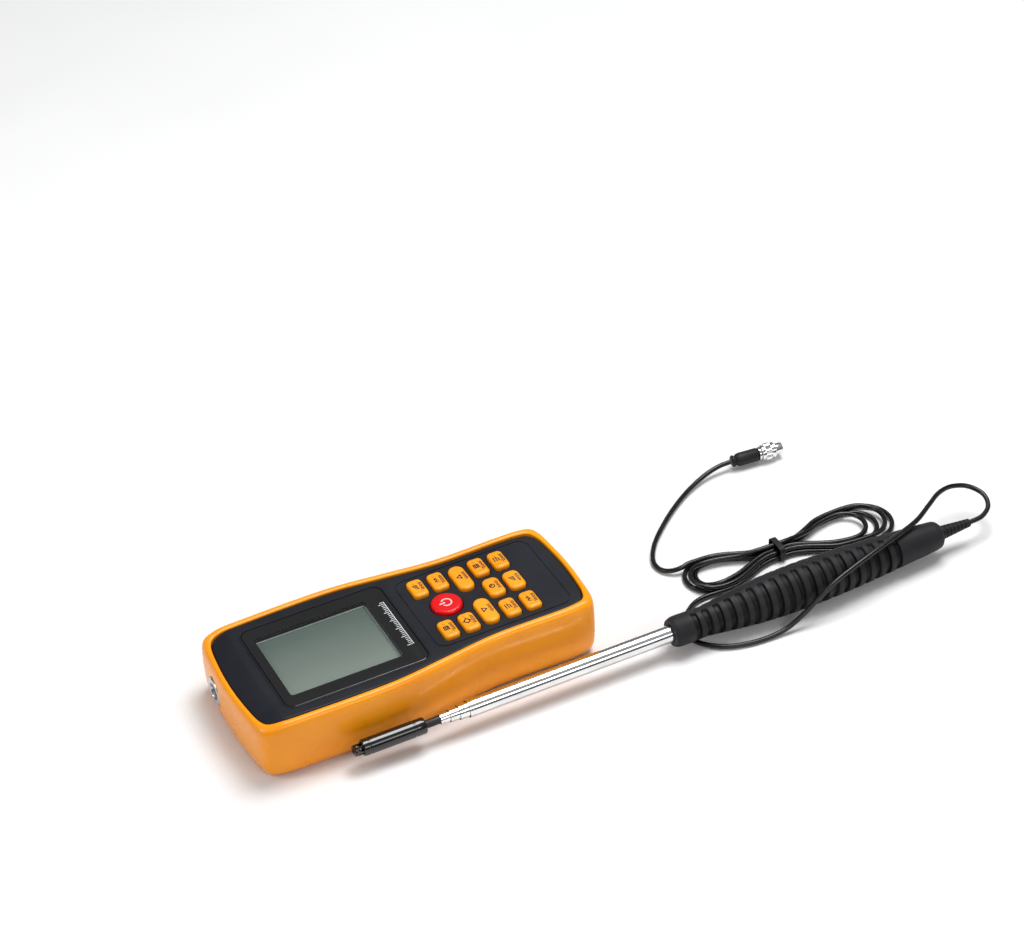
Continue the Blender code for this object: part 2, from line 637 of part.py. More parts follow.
def make_power():
    length, width = tray_inside()
    low = REAR_FLOOR + GAP
    cell_z = low + CELL_DIAMETER / 2 + GAP
    roof = cell_z + CELL_DIAMETER / 2 + GAP
    tray = prism("battery_tray", rounded_rectangle(length + 2 * TRAY_WALL, width + 2 * TRAY_WALL, 1.5, 2),
                 low, roof + TRAY_WALL, "black_plastic", (TRAY_CENTRE_X, 0.0))
    hollow = prism("tray_hollow_cut", rounded_rectangle(length, width, 0.5, 1), low - 2.0, roof, None,
                   (TRAY_CENTRE_X, 0.0))
    cut(tray, hollow)
    front = TRAY_CENTRE_X - CELL_LENGTH / 2
    radius = CELL_DIAMETER / 2
    tip_length, tip_radius = CELL_TIP
    can = CELL_LENGTH - tip_length
    profile = ((0.0, 0.0), (0.0, radius - 0.4), (0.4, radius), (can - 0.4, radius), (can, radius - 0.6),
               (can, tip_radius), (CELL_LENGTH, tip_radius), (CELL_LENGTH, 0.0))
    for number in range(CELL_COUNT):
        y = (number - (CELL_COUNT - 1) / 2) * CELL_PITCH
        turned(f"battery_cell_{number + 1}", profile, "battery_wrap", (front, y, cell_z), 20)
    for name, side in (("battery_contact_front", -1), ("battery_contact_rear", 1)):
        inner = TRAY_CENTRE_X + side * (CELL_LENGTH / 2 + GAP)
        outer = inner + side * CONTACT_THICK
        box(name, (min(inner, outer), -width / 2 + 1.0, cell_z - CONTACT_HEIGHT / 2),
            (max(inner, outer), width / 2 - 1.0, cell_z + CONTACT_HEIGHT / 2), "steel")


def make_battery_door():
    length, width = door_opening()
    door = prism("battery_door", rounded_rectangle(length - 2 * GAP, width - 2 * GAP, DOOR_CORNER - GAP),
                 DOOR_RECESS, DOOR_RECESS + DOOR_THICK, "orange_plastic", (TRAY_CENTRE_X, 0.0))
    long, wide, deep = THUMB_SIZE
    thumb = prism("door_thumb_cut", rounded_rectangle(long, wide, long / 2 - 0.1, 3), DOOR_RECESS - 1.0,
                  DOOR_RECESS + deep, None, (TRAY_CENTRE_X - length / 2 + 2 * long, 0.0))
    cut(door, thumb)


# ==== probe socket ================================================================================
def socket_face():
    """X of the socket's flat front face, flush with the curved end wall at its place."""
    return -METER_LENGTH / 2 + 0.1


def make_socket():
    face = socket_face()
    flange_radius, flange_thick = SOCKET_FLANGE
    profile = ((face, SOCKET_BORE), (face, flange_radius), (face + flange_thick, flange_radius),
               (face + flange_thick, SOCKET_RADIUS), (face + SOCKET_LENGTH, SOCKET_RADIUS),
               (face + SOCKET_LENGTH, 0.0), (face + SOCKET_DEPTH, 0.0), (face + SOCKET_DEPTH, SOCKET_BORE))
    turned("probe_socket", profile, "steel", (0.0, SOCKET_Y, SOCKET_Z))
    nut_from = -METER_LENGTH / 2 + SOCKET_SEAT + GAP
    nut = tube_profile(nut_from, nut_from + SOCKET_NUT, SOCKET_FLANGE[0] + 0.8, SOCKET_RADIUS + GAP)
    turned("socket_nut", nut, "steel", (0.0, SOCKET_Y, SOCKET_Z))


# ==== probe =======================================================================================
def handle_radius(share):
    """Radius of the handle at a share of its length, from the profile's smooth curve."""
    curve = catmull_rom([(s, r / 100, 0.0) for s, r in HANDLE_PROFILE], 6)
    for a, b in zip(curve, curve[1:]):
        if b.x >= share:
            return 100 * (a.y + (b.y - a.y) * (share - a.x) / max(b.x - a.x, 1e-9))
    return HANDLE_PROFILE[-1][1]


def half_section(x, radius, lift):
    """A half circle on the +Z side of the handle's parting plane, lifted a little off it."""
    arc_steps = 12
    angles = [math.pi * step / arc_steps for step in range(arc_steps + 1)]
    return [(x, radius * math.cos(angle), radius * math.sin(angle) + lift) for angle in angles]


def make_handle_half(name, side, parent):
    """One half shell: outer and inner half sections lofted together, with open-ended bores."""
    bm = bmesh.new()
    shares = (0.0, 0.015, 0.05, HANDLE_NOSE_SHARE, 0.16, 0.22, 0.30, 0.38, 0.46, 0.55, 0.64, 0.73, 0.82,
              0.90, HANDLE_TAIL_SHARE, 1.0)
    sections = []
    for share in shares:
        x = HANDLE_FRONT + HANDLE_LENGTH * share
        radius = handle_radius(share)
        outer = half_section(x, radius, GAP / 2)
        inner = half_section(x, handle_bore(share, radius), GAP / 2)
        sections.append(ring_verts(bm, [(px, side * py, side * pz) for px, py, pz in outer + inner[::-1]]))
    for section_a, section_b in zip(sections, sections[1:]):
        bridge(bm, section_a, section_b)
    for section in (sections[0], sections[-1]):
        count = len(section)
        for i in range(count // 2 - 1):
            bm.faces.new((section[i], section[i + 1], section[count - i - 2], section[count - i - 1]))
    return mesh_object(name, bm, "handle_plastic", parent=parent)


def handle_bore(share, radius):
    """Inside radius of the handle: a close bore at the nose and at the tail, hollow between."""
    nose = TUBE_RADII[0] + GAP
    tail = RELIEF_RADII[0] + GAP
    if share <= HANDLE_NOSE_SHARE:
        return nose
    if share >= HANDLE_TAIL_SHARE:
        return tail
    return radius - HANDLE_WALL


def make_mast(parent):
    """Four telescoping tubes, each running inside the one before."""
    for number, radius in enumerate(TUBE_RADII):
        front = TUBE_FRONT - TUBE_STEP * number
        back = TUBE_BACK - TUBE_BACK_STEP * number
        inner = radius - TUBE_WALL
        lip_length, lip_depth = TUBE_LIP
        profile = ((front, radius - lip_depth), (front + lip_length, radius), (back, radius), (back, inner),
                   (front, inner))
        turned(f"mast_tube_{number + 1}", profile, "chrome", parent=parent)


def make_sensor(parent):
    back = SENSOR_TIP + SENSOR_LENGTH
    turned("sensor_stem", rod_profile(back + GAP, INNER_FRONT + STEM_INSIDE, STEM_RADIUS), "black_plastic",
           parent=parent)
    inside = SENSOR_RADIUS - SENSOR_WALL
    inner_back = back - 1.6
    lip = SENSOR_TIP + 0.8
    profile = ((SENSOR_TIP, SENSOR_MOUTH), (SENSOR_TIP, inside), (SENSOR_TIP + 0.6, SENSOR_RADIUS),
               (back, SENSOR_RADIUS), (back, 0.0), (inner_back, 0.0), (inner_back, inside), (lip, inside),
               (lip, SENSOR_MOUTH))
    cage = turned("sensor_cage", profile, "black_plastic", parent=parent)
    window = box("sensor_window_cut", (lip + 1.0, -2 * SENSOR_RADIUS, -1.7),
                 (inner_back - 0.8, 2 * SENSOR_RADIUS, 1.7), None, parent)
    cut(cage, window)
    bead_x = (SENSOR_TIP + back) / 2
    turned("sensor_bead", rod_profile(bead_x - 1.2, inner_back - GAP, BEAD_RADIUS), "steel", sides=10,
           parent=parent)
    turned("protective_sleeve", tube_profile(*SLEEVE_SPAN, SLEEVE_RADIUS, SLEEVE_RADIUS - SLEEVE_WALL),
           "black_plastic", parent=parent)


def add_handle_screws(right_half, left_half, parent):
    """Posts in both halves, each pair with a screw from the left half's side."""
    for number, x in enumerate(HANDLE_SCREW_X, 1):
        radius = handle_radius((x - HANDLE_FRONT) / HANDLE_LENGTH)
        seat = -radius + HANDLE_SCREW_SINK
        post_low = cylinder(f"post_low_form_{number}", HANDLE_POST_RADIUS, -radius + 1.0, -GAP / 2, None,
                            (x, 0.0), 16, parent)
        post_high = cylinder(f"post_high_form_{number}", HANDLE_POST_RADIUS, GAP / 2, radius - 1.0, None,
                             (x, 0.0), 16, parent)
        join(left_half, post_low)
        join(right_half, post_high)
        shank = HANDLE_SCREW_RADIUS + GAP
        head = HANDLE_SCREW_HEAD + GAP
        stepped = ((-radius - 2.0, 0.0), (-radius - 2.0, head), (seat, head), (seat, shank), (1.0, shank),
                   (1.0, 0.0))
        hole_low = turned(f"post_low_cut_{number}", stepped, None, (x, 0.0, 0.0), 16, parent)
        hole_high = turned(f"post_high_cut_{number}", rod_profile(-1.0, HANDLE_SCREW_END + 1.0, shank), None,
                           (x, 0.0, 0.0), 16, parent)
        profile = ((seat - 1.4, 0.0), (seat - 1.4, HANDLE_SCREW_HEAD), (seat - GAP, HANDLE_SCREW_HEAD),
                   (seat - GAP, HANDLE_SCREW_RADIUS), (HANDLE_SCREW_END, HANDLE_SCREW_RADIUS),
                   (HANDLE_SCREW_END, 0.0))
        screw = turned(f"handle_screw_{number}", profile, "steel", (x, 0.0, 0.0), 12, parent)
        for upright in (hole_low, hole_high, screw):
            upright.rotation_euler = (0.0, -math.pi / 2, 0.0)
        cut(left_half, hole_low)
        cut(right_half, hole_high)


def make_handle_inside(parent):
    first, second = HANDLE_SCREW_X
    board_from = first + HANDLE_POST_RADIUS + 1.0
    board_to = second - HANDLE_POST_RADIUS - 4.5
    width, thick = HANDLE_BOARD_SIZE
    box("handle_board", (board_from, -width / 2, -thick / 2), (board_to, width / 2, thick / 2), "board",
        parent)
    wide, narrow = RELIEF_RADII
    profile = ((HANDLE_TAIL - RELIEF_INSIDE, 0.0), (HANDLE_TAIL - RELIEF_INSIDE, wide),
               (HANDLE_TAIL + 2.0, wide), (HANDLE_TAIL + RELIEF_LENGTH, narrow),
               (HANDLE_TAIL + RELIEF_LENGTH, 0.0))
    turned("strain_relief", profile, "rubber", sides=16, parent=parent)


# ==== cable =======================================================================================
def make_cable(name, route):
    dense = catmull_rom(route, 12)
    points = even_points(dense, CABLE_POINT_STEP)
    curve = bpy.data.curves.new(name, "CURVE")
    curve.dimensions = "3D"
    curve.bevel_depth = CABLE_RADIUS * MM
    curve.bevel_resolution = 2
    curve.use_fill_caps = True
    curve.render_resolution_u = 0
    spline = curve.splines.new("POLY")
    spline.points.add(len(points) - 1)
    for target, point in zip(spline.points, points):
        target.co = (*(point * MM), 1.0)
    curve.materials.append(MATERIALS["rubber"])
    thing = bpy.data.objects.new(name, curve)
    PARTS.objects.link(thing)


def hank_axis():
    start = Vector(HANK_ENDS[0])
    end = Vector(HANK_ENDS[1])
    return start, end - start


def make_hank():
    """The tied hank: two lobes and a waist, as one extruded outline with round ends."""
    start, run = hank_axis()
    length = run.length
    angle = math.degrees(math.atan2(run.y, run.x))
    left, waist, right = HANK_HALF_WIDTHS
    tie = HANK_TIE_SHARE * length
    half = [(0.0, 0.0), (left * 0.35, left * 0.8), (left * 1.3, left), (tie - 16.0, left * 0.72),
            (tie - TIE_WIDTH, waist), (tie + TIE_WIDTH, waist), (tie + 20.0, right * 0.72),
            (length - right * 1.3, right), (length - right * 0.35, right * 0.8), (length, 0.0)]
    mirrored = [(x, -y) for x, y in reversed(half[1:-1])]
    outline = catmull_rom([(x, y, 0.0) for x, y in half + mirrored], 3, closed=True)
    frame = empty_at("hank_axis", (start.x, start.y, 0.0), angle)
    prism("cable_hank", outline, *HANK_Z, "rubber", parent=frame)
    hole = (TIE_WIDTH + 2.0, 2 * (waist + GAP) + 0.6)
    low = 0.0
    high = HANK_Z[1] + GAP + TIE_THICK
    ring = box("cable_tie", (tie - TIE_WIDTH / 2, -hole[1] / 2 - TIE_THICK, low),
               (tie + TIE_WIDTH / 2, hole[1] / 2 + TIE_THICK, high), "rubber", frame)
    gap_cut = box("tie_hole_cut", (tie - hole[0] / 2, -hole[1] / 2, -2.0), (tie + hole[0] / 2, hole[1] / 2,
                  HANK_Z[1] + GAP), None, frame)
    cut(ring, gap_cut)


def make_plug():
    """Straight round plug: rubber boot, metal shell, turning coupling ring and a pin insert."""
    frame = empty_at("plug_axis", PLUG_AT, PLUG_TURN)
    boot = ((0.0, 0.0), (0.0, 2.2), (1.0, 3.4), (2.4, 3.4), (3.2, 2.8), (5.0, BOOT_RADIUS),
            (BOOT_LENGTH, BOOT_RADIUS), (BOOT_LENGTH, 0.0))
    turned("plug_boot", boot, "rubber", sides=16, parent=frame)
    shell_from = BOOT_LENGTH + GAP
    neck = RING_RADIUS - 1.6
    shell = ((shell_from, 0.0), (shell_from, SHELL_RADIUS), (RING_SPAN[0] - GAP, SHELL_RADIUS),
             (RING_SPAN[0] - GAP, neck), (SHELL_END, neck), (SHELL_END, INSERT_RADIUS + 0.3),
             (SHELL_END - 5.0, INSERT_RADIUS + 0.3), (SHELL_END - 5.0, 0.0))
    turned("plug_shell", shell, "chrome", sides=20, parent=frame)
    turned("coupling_ring", tube_profile(*RING_SPAN, RING_RADIUS, neck + GAP), "chrome", sides=24,
           parent=frame)
    turned("plug_insert", rod_profile(SHELL_END - 5.0 + GAP, SHELL_END - 0.4, INSERT_RADIUS), "black_plastic",
           sides=16, parent=frame)


# ==== the whole object ============================================================================
def build():
    make_rear_housing()
    make_front_housing()
    make_housing_screws()
    make_display()
    make_keys()
    make_membrane()
    make_electronics()
    make_power()
    make_battery_door()
    make_socket()
    probe = empty_at("probe_axis", (0.0, PROBE_Y, PROBE_Z))
    make_mast(probe)
    make_sensor(probe)
    handle = empty_at("handle_axis", (0.0, 0.0, 0.0))
    handle.rotation_euler = (math.radians(HANDLE_ROLL), 0.0, 0.0)
    handle.parent = probe
    right_half = make_handle_half("handle_right", 1, handle)
    left_half = make_handle_half("handle_left", -1, handle)
    add_handle_screws(right_half, left_half, handle)
    make_handle_inside(probe)
    make_cable("cable_to_hank", CABLE_TO_HANK)
    make_hank()
    make_cable("cable_to_plug", CABLE_TO_PLUG)
    make_plug()


build()
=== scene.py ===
"""Looks of the hot-wire anemometer: fine shells, keys, grip, tubes, cable and plug round the CAD frame.

Shapes are worked out in millimetres, in the CAD model's own frame, and become metres when a mesh is made.
"""
import math

import bmesh
import bpy
from mathutils import Matrix, Vector


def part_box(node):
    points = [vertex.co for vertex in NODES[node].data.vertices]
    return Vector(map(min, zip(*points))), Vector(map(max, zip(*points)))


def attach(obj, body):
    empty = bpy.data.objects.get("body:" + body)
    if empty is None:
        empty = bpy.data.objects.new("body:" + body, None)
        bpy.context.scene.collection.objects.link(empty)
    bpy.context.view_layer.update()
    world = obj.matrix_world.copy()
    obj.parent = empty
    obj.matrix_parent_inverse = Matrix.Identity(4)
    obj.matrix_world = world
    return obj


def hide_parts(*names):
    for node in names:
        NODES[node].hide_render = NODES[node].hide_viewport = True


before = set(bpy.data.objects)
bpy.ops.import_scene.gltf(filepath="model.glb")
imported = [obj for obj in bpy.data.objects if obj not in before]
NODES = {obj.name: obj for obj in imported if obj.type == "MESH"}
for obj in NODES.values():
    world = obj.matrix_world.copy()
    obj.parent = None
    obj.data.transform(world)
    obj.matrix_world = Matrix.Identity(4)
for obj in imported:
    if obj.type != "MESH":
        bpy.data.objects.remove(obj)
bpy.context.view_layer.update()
MM = 0.001


def corners(node):
    """Lowest and highest corner of a CAD node, in millimetres."""
    low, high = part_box(node)
    return low / MM, high / MM


def middle(node):
    """Centre of a CAD node's box, in millimetres."""
    low, high = corners(node)
    return (low + high) / 2


def ends(node):
    """Lowest and highest x of a CAD node, in millimetres."""
    low, high = corners(node)
    return low.x, high.x


# ==== sizes shared with the CAD model, in millimetres ====
REAR_LOW, REAR_HIGH = corners("rear_housing")
METER_LENGTH = REAR_HIGH.x - REAR_LOW.x
DISPLAY_WIDTH = 92.0
GRIP_WIDTH = 78.0
WAIST_FROM = -20.0
WAIST_TO = 38.0
FACE_Z = 35.2
RIM_RISE = 1.4
RIM_WIDTH = 5.2
REAR_WALL = 2.8
REAR_FLOOR = 2.4
END_SHARE = 0.72
FRONT_PLATE = 2.6
SKIRT_Z = 28.5
SKIRT_WALL = 2.0
ROLL_FROM = -84.0
ROLL_DROP = 4.6
GAP = 0.3

PROBE_Y = -55.5
PROBE_Z = 12.7
TUBE_RADII = (4.7, 4.1, 3.5, 2.9)
HANDLE_ROLL = 70.0
HANDLE_FRONT = 131.0
HANDLE_LENGTH = 168.0
HANDLE_PROFILE = (
    (0.0, 7.4), (0.015, 8.3), (0.06, 8.4), (0.11, 8.2), (0.20, 9.9), (0.32, 11.9), (0.45, 12.7),
    (0.58, 12.4), (0.72, 11.3), (0.86, 9.6), (0.95, 8.5), (0.99, 7.6), (1.0, 6.2),
)

CABLE_RADIUS = 1.4
CABLE_TO_HANK = (
    (319.3, -55.5, 12.7), (328.0, -54.6, 12.9), (335.5, -49.5, 13.8), (338.0, -41.0, 15.4),
    (333.0, -33.2, 17.6), (323.5, -31.2, 20.0), (312.5, -35.0, 22.4), (300.5, -43.0, 23.8),
    (288.0, -51.0, 24.2), (275.0, -56.6, 24.8), (262.0, -60.6, 24.9), (248.0, -64.4, 24.0),
    (236.0, -67.0, 22.2), (225.0, -69.2, 19.8), (214.0, -71.2, 15.2), (203.0, -72.4, 8.4),
    (192.0, -73.0, 3.2), (180.0, -73.0, 1.6), (168.0, -71.6, 1.6), (156.0, -67.2, 1.6),
    (147.5, -59.5, 1.6), (144.0, -50.0, 1.6), (146.5, -40.6, 1.6), (153.5, -33.4, 1.6),
    (160.8, -28.4, 1.6), (167.5, -26.8, 1.6),
)
CABLE_TO_PLUG = (
    (167.8, -1.2, 4.0), (162.6, 0.8, 2.5), (158.8, 5.2, 1.6), (157.9, 11.0, 1.6), (160.4, 18.0, 1.6),
    (167.6, 28.2, 1.6), (178.6, 39.0, 1.6), (192.0, 50.0, 1.7), (206.6, 59.4, 2.2), (221.0, 65.4, 3.6),
    (231.0, 67.0, 5.0), (238.1, 66.9, 5.4),
)
HANK_ENDS = ((164.0, -13.0), (294.0, -15.5))
HANK_TIE_SHARE = 0.44
PLUG_AT = (238.4, 66.9, 5.4)
PLUG_TURN = -5.0


# ==== node material helpers ====
NOISE_ROUGHNESS = 0.55
EVEN = (1.0, 1.0, 1.0)


def new_material(name):
    material = bpy.data.materials.new(name)
    material.use_nodes = True
    tree = material.node_tree
    shader = tree.nodes["Principled BSDF"]
    return material, tree, shader


def set_inputs(tree, node, values=(), links=()):
    """Give a node's inputs fixed values, or link them to the outputs that feed them."""
    for key, value in dict(values).items():
        node.inputs[key].default_value = value
    for key, source in dict(links).items():
        tree.links.new(source, node.inputs[key])


def add_node(tree, kind, values=(), links=()):
    node = tree.nodes.new(kind)
    set_inputs(tree, node, values, links)
    return node


def object_noise(tree, scale, detail, stretch=EVEN):
    """Noise in the object's own metres, with one stretch for each axis."""
    coords = add_node(tree, "ShaderNodeTexCoord")
    mapping = add_node(tree, "ShaderNodeMapping", {"Scale": stretch}, {"Vector": coords.outputs["Object"]})
    noise = add_node(tree, "ShaderNodeTexNoise",
                     {"Scale": scale, "Detail": detail, "Roughness": NOISE_ROUGHNESS},
                     {"Vector": mapping.outputs["Vector"]})
    return noise.outputs["Fac"]


def ramp_between(tree, factor, low, high, start=0.35, end=0.65):
    """Blend two colours over a stretch of a factor."""
    ramp = add_node(tree, "ShaderNodeValToRGB", links={"Fac": factor})
    for stop, position, colour in zip(ramp.color_ramp.elements, (start, end), (low, high)):
        stop.position = position
        stop.color = (*colour, 1.0)
    return ramp.outputs["Color"]


def spread(tree, factor, low, high, start=0.3, end=0.7):
    """Map a factor's stretch to a range of numbers."""
    limits = {"From Min": start, "From Max": end, "To Min": low, "To Max": high}
    return add_node(tree, "ShaderNodeMapRange", limits, {"Value": factor}).outputs["Result"]


def bump_from(tree, shader, height, strength, distance):
    bump = add_node(tree, "ShaderNodeBump", {"Strength": strength, "Distance": distance}, {"Height": height})
    tree.links.new(bump.outputs["Normal"], shader.inputs["Normal"])


def moulded_plastic(name, dark, light, roughness, grain_scale, grain_depth, coat=0.0, specular=0.5):
    """Moulded plastic: slow colour drift, fine spark texture and uneven gloss from handling."""
    material, tree, shader = new_material(name)
    drift = object_noise(tree, 22.0, 3.0)
    handling = object_noise(tree, 90.0, 5.0)
    set_inputs(tree, shader, {"Coat Weight": coat, "Coat Roughness": 0.12, "Specular IOR Level": specular},
               {"Base Color": ramp_between(tree, drift, dark, light),
                "Roughness": spread(tree, handling, *roughness)})
    bump_from(tree, shader, object_noise(tree, grain_scale, 2.0), 0.35, grain_depth)
    return material


def metal(name, colour, roughness, line_stretch, line_depth):
    """Drawn or turned metal: fine lines along one direction and a slight tarnish."""
    material, tree, shader = new_material(name)
    tarnish = object_noise(tree, 60.0, 4.0)
    darker = tuple(c * 0.86 for c in colour)
    lines = object_noise(tree, 400.0, 3.0, line_stretch)
    set_inputs(tree, shader, {"Metallic": 1.0},
               {"Base Color": ramp_between(tree, tarnish, darker, colour),
                "Roughness": spread(tree, lines, *roughness)})
    bump_from(tree, shader, lines, 0.25, line_depth)
    return material


# Each row: material name, darker and lighter colour, lowest and highest roughness, grain scale, grain depth
# in metres, and where they differ from none and 0.5, the weight of the clear coat and the specular level.
PLASTICS = {
    "orange": ("orange_body_plastic", (0.90, 0.285, 0.0015), (0.97, 0.340, 0.0025), (0.24, 0.36),
               2400.0, 0.00003, 0.12, 0.32),
    "key": ("key_orange_plastic", (0.90, 0.300, 0.003), (0.97, 0.355, 0.005), (0.32, 0.44),
            2600.0, 0.00002, 0.05, 0.32),
    "red": ("power_red_plastic", (0.62, 0.003, 0.006), (0.72, 0.005, 0.009), (0.26, 0.38),
            2600.0, 0.00002, 0.05, 0.25),
    "charcoal": ("charcoal_face_plastic", (0.0078, 0.0088, 0.0128), (0.0125, 0.0138, 0.0190), (0.42, 0.54),
                 3200.0, 0.00004, 0.0, 0.17),
    "black": ("black_gloss_plastic", (0.0018, 0.0018, 0.0022), (0.0032, 0.0032, 0.0036), (0.06, 0.15),
              1800.0, 0.00001, 0.4, 0.5),
    "dark_inside": ("inner_black_plastic", (0.008, 0.008, 0.009), (0.013, 0.013, 0.014), (0.38, 0.52),
                    2600.0, 0.00003, 0.0, 0.4),
    "cable": ("cable_jacket_pvc", (0.0020, 0.0020, 0.0024), (0.0042, 0.0042, 0.0046), (0.20, 0.33),
              1500.0, 0.00002, 0.0, 0.42),
    "boot": ("boot_rubber", (0.0050, 0.0050, 0.0055), (0.0090, 0.0090, 0.0095), (0.44, 0.60),
             2200.0, 0.00004, 0.0, 0.3),
    "silicone": ("membrane_silicone", (0.16, 0.16, 0.17), (0.22, 0.22, 0.23), (0.55, 0.7), 1800.0, 0.00002),
    "battery": ("battery_sleeve_film", (0.05, 0.07, 0.10), (0.07, 0.09, 0.13), (0.18, 0.28), 500.0, 0.00001),
    "print": ("white_print_ink", (0.60, 0.61, 0.62), (0.72, 0.73, 0.74), (0.45, 0.55), 2500.0, 0.00001),
    "glyph": ("dark_key_ink", (0.016, 0.010, 0.008), (0.026, 0.016, 0.012), (0.45, 0.55), 2500.0, 0.00001),
    "lcd_edge": ("lcd_glass_edge", (0.42, 0.47, 0.42), (0.52, 0.56, 0.50), (0.20, 0.30), 1500.0, 0.00001),
}


def make_materials():
    made = {key: moulded_plastic(*row) for key, row in PLASTICS.items()}
    made["chrome"] = metal("tube_chrome", (0.84, 0.84, 0.83), (0.05, 0.12), (0.02, 1.0, 1.0), 0.000002)
    made["steel"] = metal("turned_steel", (0.55, 0.55, 0.54), (0.22, 0.36), (1.0, 0.05, 0.05), 0.000006)
    made["handle"] = handle_material()
    made["window"] = window_material()
    made["lcd"] = lcd_material()
    made["board"] = board_material()
    return made


def handle_material():
    """Matte grip plastic: lands with a slow drift in tone, and groove floors painted near-black as painted
    shade, from the piece's own groove depth.
    """
    material, tree, shader = new_material("grip_plastic")
    depth = add_node(tree, "ShaderNodeAttribute")
    depth.attribute_name = "groove"
    drift = object_noise(tree, 35.0, 4.0)
    land = ramp_between(tree, drift, (0.0100, 0.0100, 0.0115), (0.0150, 0.0150, 0.0168))
    groove_shade_mix = add_node(tree, "ShaderNodeMix")
    groove_shade_mix.data_type = "RGBA"
    colour_a, shade_socket, colour_out = 6, 7, 2             # the mix node's colour sockets
    # painted shade: the groove attribute blends the lands into a near-black colour on the groove floors,
    # standing in for shade in the grooves
    set_inputs(tree, groove_shade_mix, {shade_socket: (0.0006, 0.0006, 0.0007, 1.0)},
               {"Factor": depth.outputs["Fac"], colour_a: land})
    worn = object_noise(tree, 120.0, 5.0)
    set_inputs(tree, shader, {"Specular IOR Level": 0.22},
               {"Base Color": groove_shade_mix.outputs[colour_out], "Roughness": spread(tree, worn, 0.46, 0.62)})
    bump_from(tree, shader, object_noise(tree, 3000.0, 2.0), 0.4, 0.00004)
    return material


def window_material():
    """Clear acrylic pane: faintly smoked, with handling smudges in its gloss."""
    material, tree, shader = new_material("window_clear_pane")
    tint = object_noise(tree, 30.0, 3.0)
    smudges = object_noise(tree, 45.0, 5.0)
    set_inputs(tree, shader, {"IOR": 2.5, "Alpha": 0.13},
               {"Base Color": ramp_between(tree, tint, (0.004, 0.005, 0.005), (0.010, 0.012, 0.011)),
                "Roughness": spread(tree, smudges, 0.03, 0.09)})
    return material


def lcd_material():
    """Reflective liquid crystal panel: grey-green with a slow drift in tone, painted lighter towards the near
    side as a painted sheen, and a fine pixel pitch.
    """
    material, tree, shader = new_material("lcd_panel")
    coords = add_node(tree, "ShaderNodeTexCoord").outputs["Object"]
    parts = add_node(tree, "ShaderNodeSeparateXYZ", links={"Vector": coords})
    half_view = 0.026
    # painted sheen: the colour runs from lighter at the near side (low y) to darker at the far side, with the
    # noise adding a slow drift in tone
    across = spread(tree, parts.outputs["Y"], 0.0, 1.0, -half_view, half_view)
    total = tree.nodes.new("ShaderNodeMath")
    total.operation = "MULTIPLY_ADD"
    set_inputs(tree, total, {1: 0.35}, {0: object_noise(tree, 16.0, 3.0), 2: across})
    colour = ramp_between(tree, total.outputs["Value"], (0.29, 0.35, 0.30), (0.115, 0.165, 0.140), 0.15, 1.0)
    set_inputs(tree, shader, {"Roughness": 0.45}, {"Base Color": colour})
    pixel = 0.0006
    pitch = add_node(tree, "ShaderNodeTexBrick",
                     {"Scale": 1.0, "Brick Width": pixel, "Row Height": pixel, "Mortar Size": pixel / 12},
                     {"Vector": coords})
    pitch.offset = 0.0
    bump_from(tree, shader, pitch.outputs["Fac"], 0.08, 0.00002)
    return material


def board_material():
    """Solder mask with faint copper runs under it."""
    material, tree, shader = new_material("circuit_board")
    runs = object_noise(tree, 260.0, 1.0, (1.0, 0.12, 1.0))
    colour = ramp_between(tree, runs, (0.012, 0.11, 0.035), (0.03, 0.20, 0.07), 0.45, 0.52)
    set_inputs(tree, shader, {"Roughness": 0.35}, {"Base Color": colour})
    bump_from(tree, shader, runs, 0.3, 0.00003)
    return material


MATERIALS = make_materials()


# ==== mesh helpers ====
SHARP_DEG = 32.0


def mixed(a, b, start, end, t):
    """The point at t on the line that is at `a` when t is `start` and at `b` when it is `end`."""
    return a * ((end - t) / (end - start)) + b * ((t - start) / (end - start))


def catmull_rom(points, per_span, closed=False):
    """Centripetal Catmull-Rom curve through the points, as the CAD model draws it."""
    points = [Vector(p) for p in points]
    if closed:
        padded = [points[-1]] + points + points[:2]
    else:
        padded = [points[0] * 2 - points[1]] + points + [points[-1] * 2 - points[-2]]
    curve = []
    for p0, p1, p2, p3 in zip(padded, padded[1:], padded[2:], padded[3:]):
        t1 = (p1 - p0).length ** 0.5
        t2 = t1 + (p2 - p1).length ** 0.5
        t3 = t2 + (p3 - p2).length ** 0.5
        for step in range(per_span):
            t = t1 + (t2 - t1) * step / per_span
            a2 = mixed(p1, p2, t1, t2, t)
            b1 = mixed(mixed(p0, p1, 0.0, t1, t), a2, 0.0, t2, t)
            b2 = mixed(a2, mixed(p2, p3, t2, t3, t), t1, t3, t)
            curve.append(mixed(b1, b2, t1, t2, t))
    if not closed:
        curve.append(points[-1])
    return curve


def even_points(curve, step):
    """Points along a dense curve at an even spacing near `step`, both ends kept."""
    runs = [(b - a).length for a, b in zip(curve, curve[1:])]
    total = sum(runs)
    count = max(2, round(total / step))
    wanted = [total * i / count for i in range(1, count)]
    picked = [curve[0]]
    walked = 0.0
    for (a, b), run in zip(zip(curve, curve[1:]), runs):
        while wanted and walked + run >= wanted[0]:
            picked.append(a.lerp(b, (wanted.pop(0) - walked) / run))
        walked += run
    picked.append(curve[-1])
    return picked


def ring_verts(bm, points):
    return [bm.verts.new(p) for p in points]


def bridge(bm, ring_a, ring_b):
    """Faces between two rings with as many points."""
    for i in range(len(ring_a)):
        j = (i + 1) % len(ring_a)
        bm.faces.new((ring_a[i], ring_a[j], ring_b[j], ring_b[i]))


def bridge_all(bm, rings):
    for ring_a, ring_b in zip(rings, rings[1:]):
        bridge(bm, ring_a, ring_b)


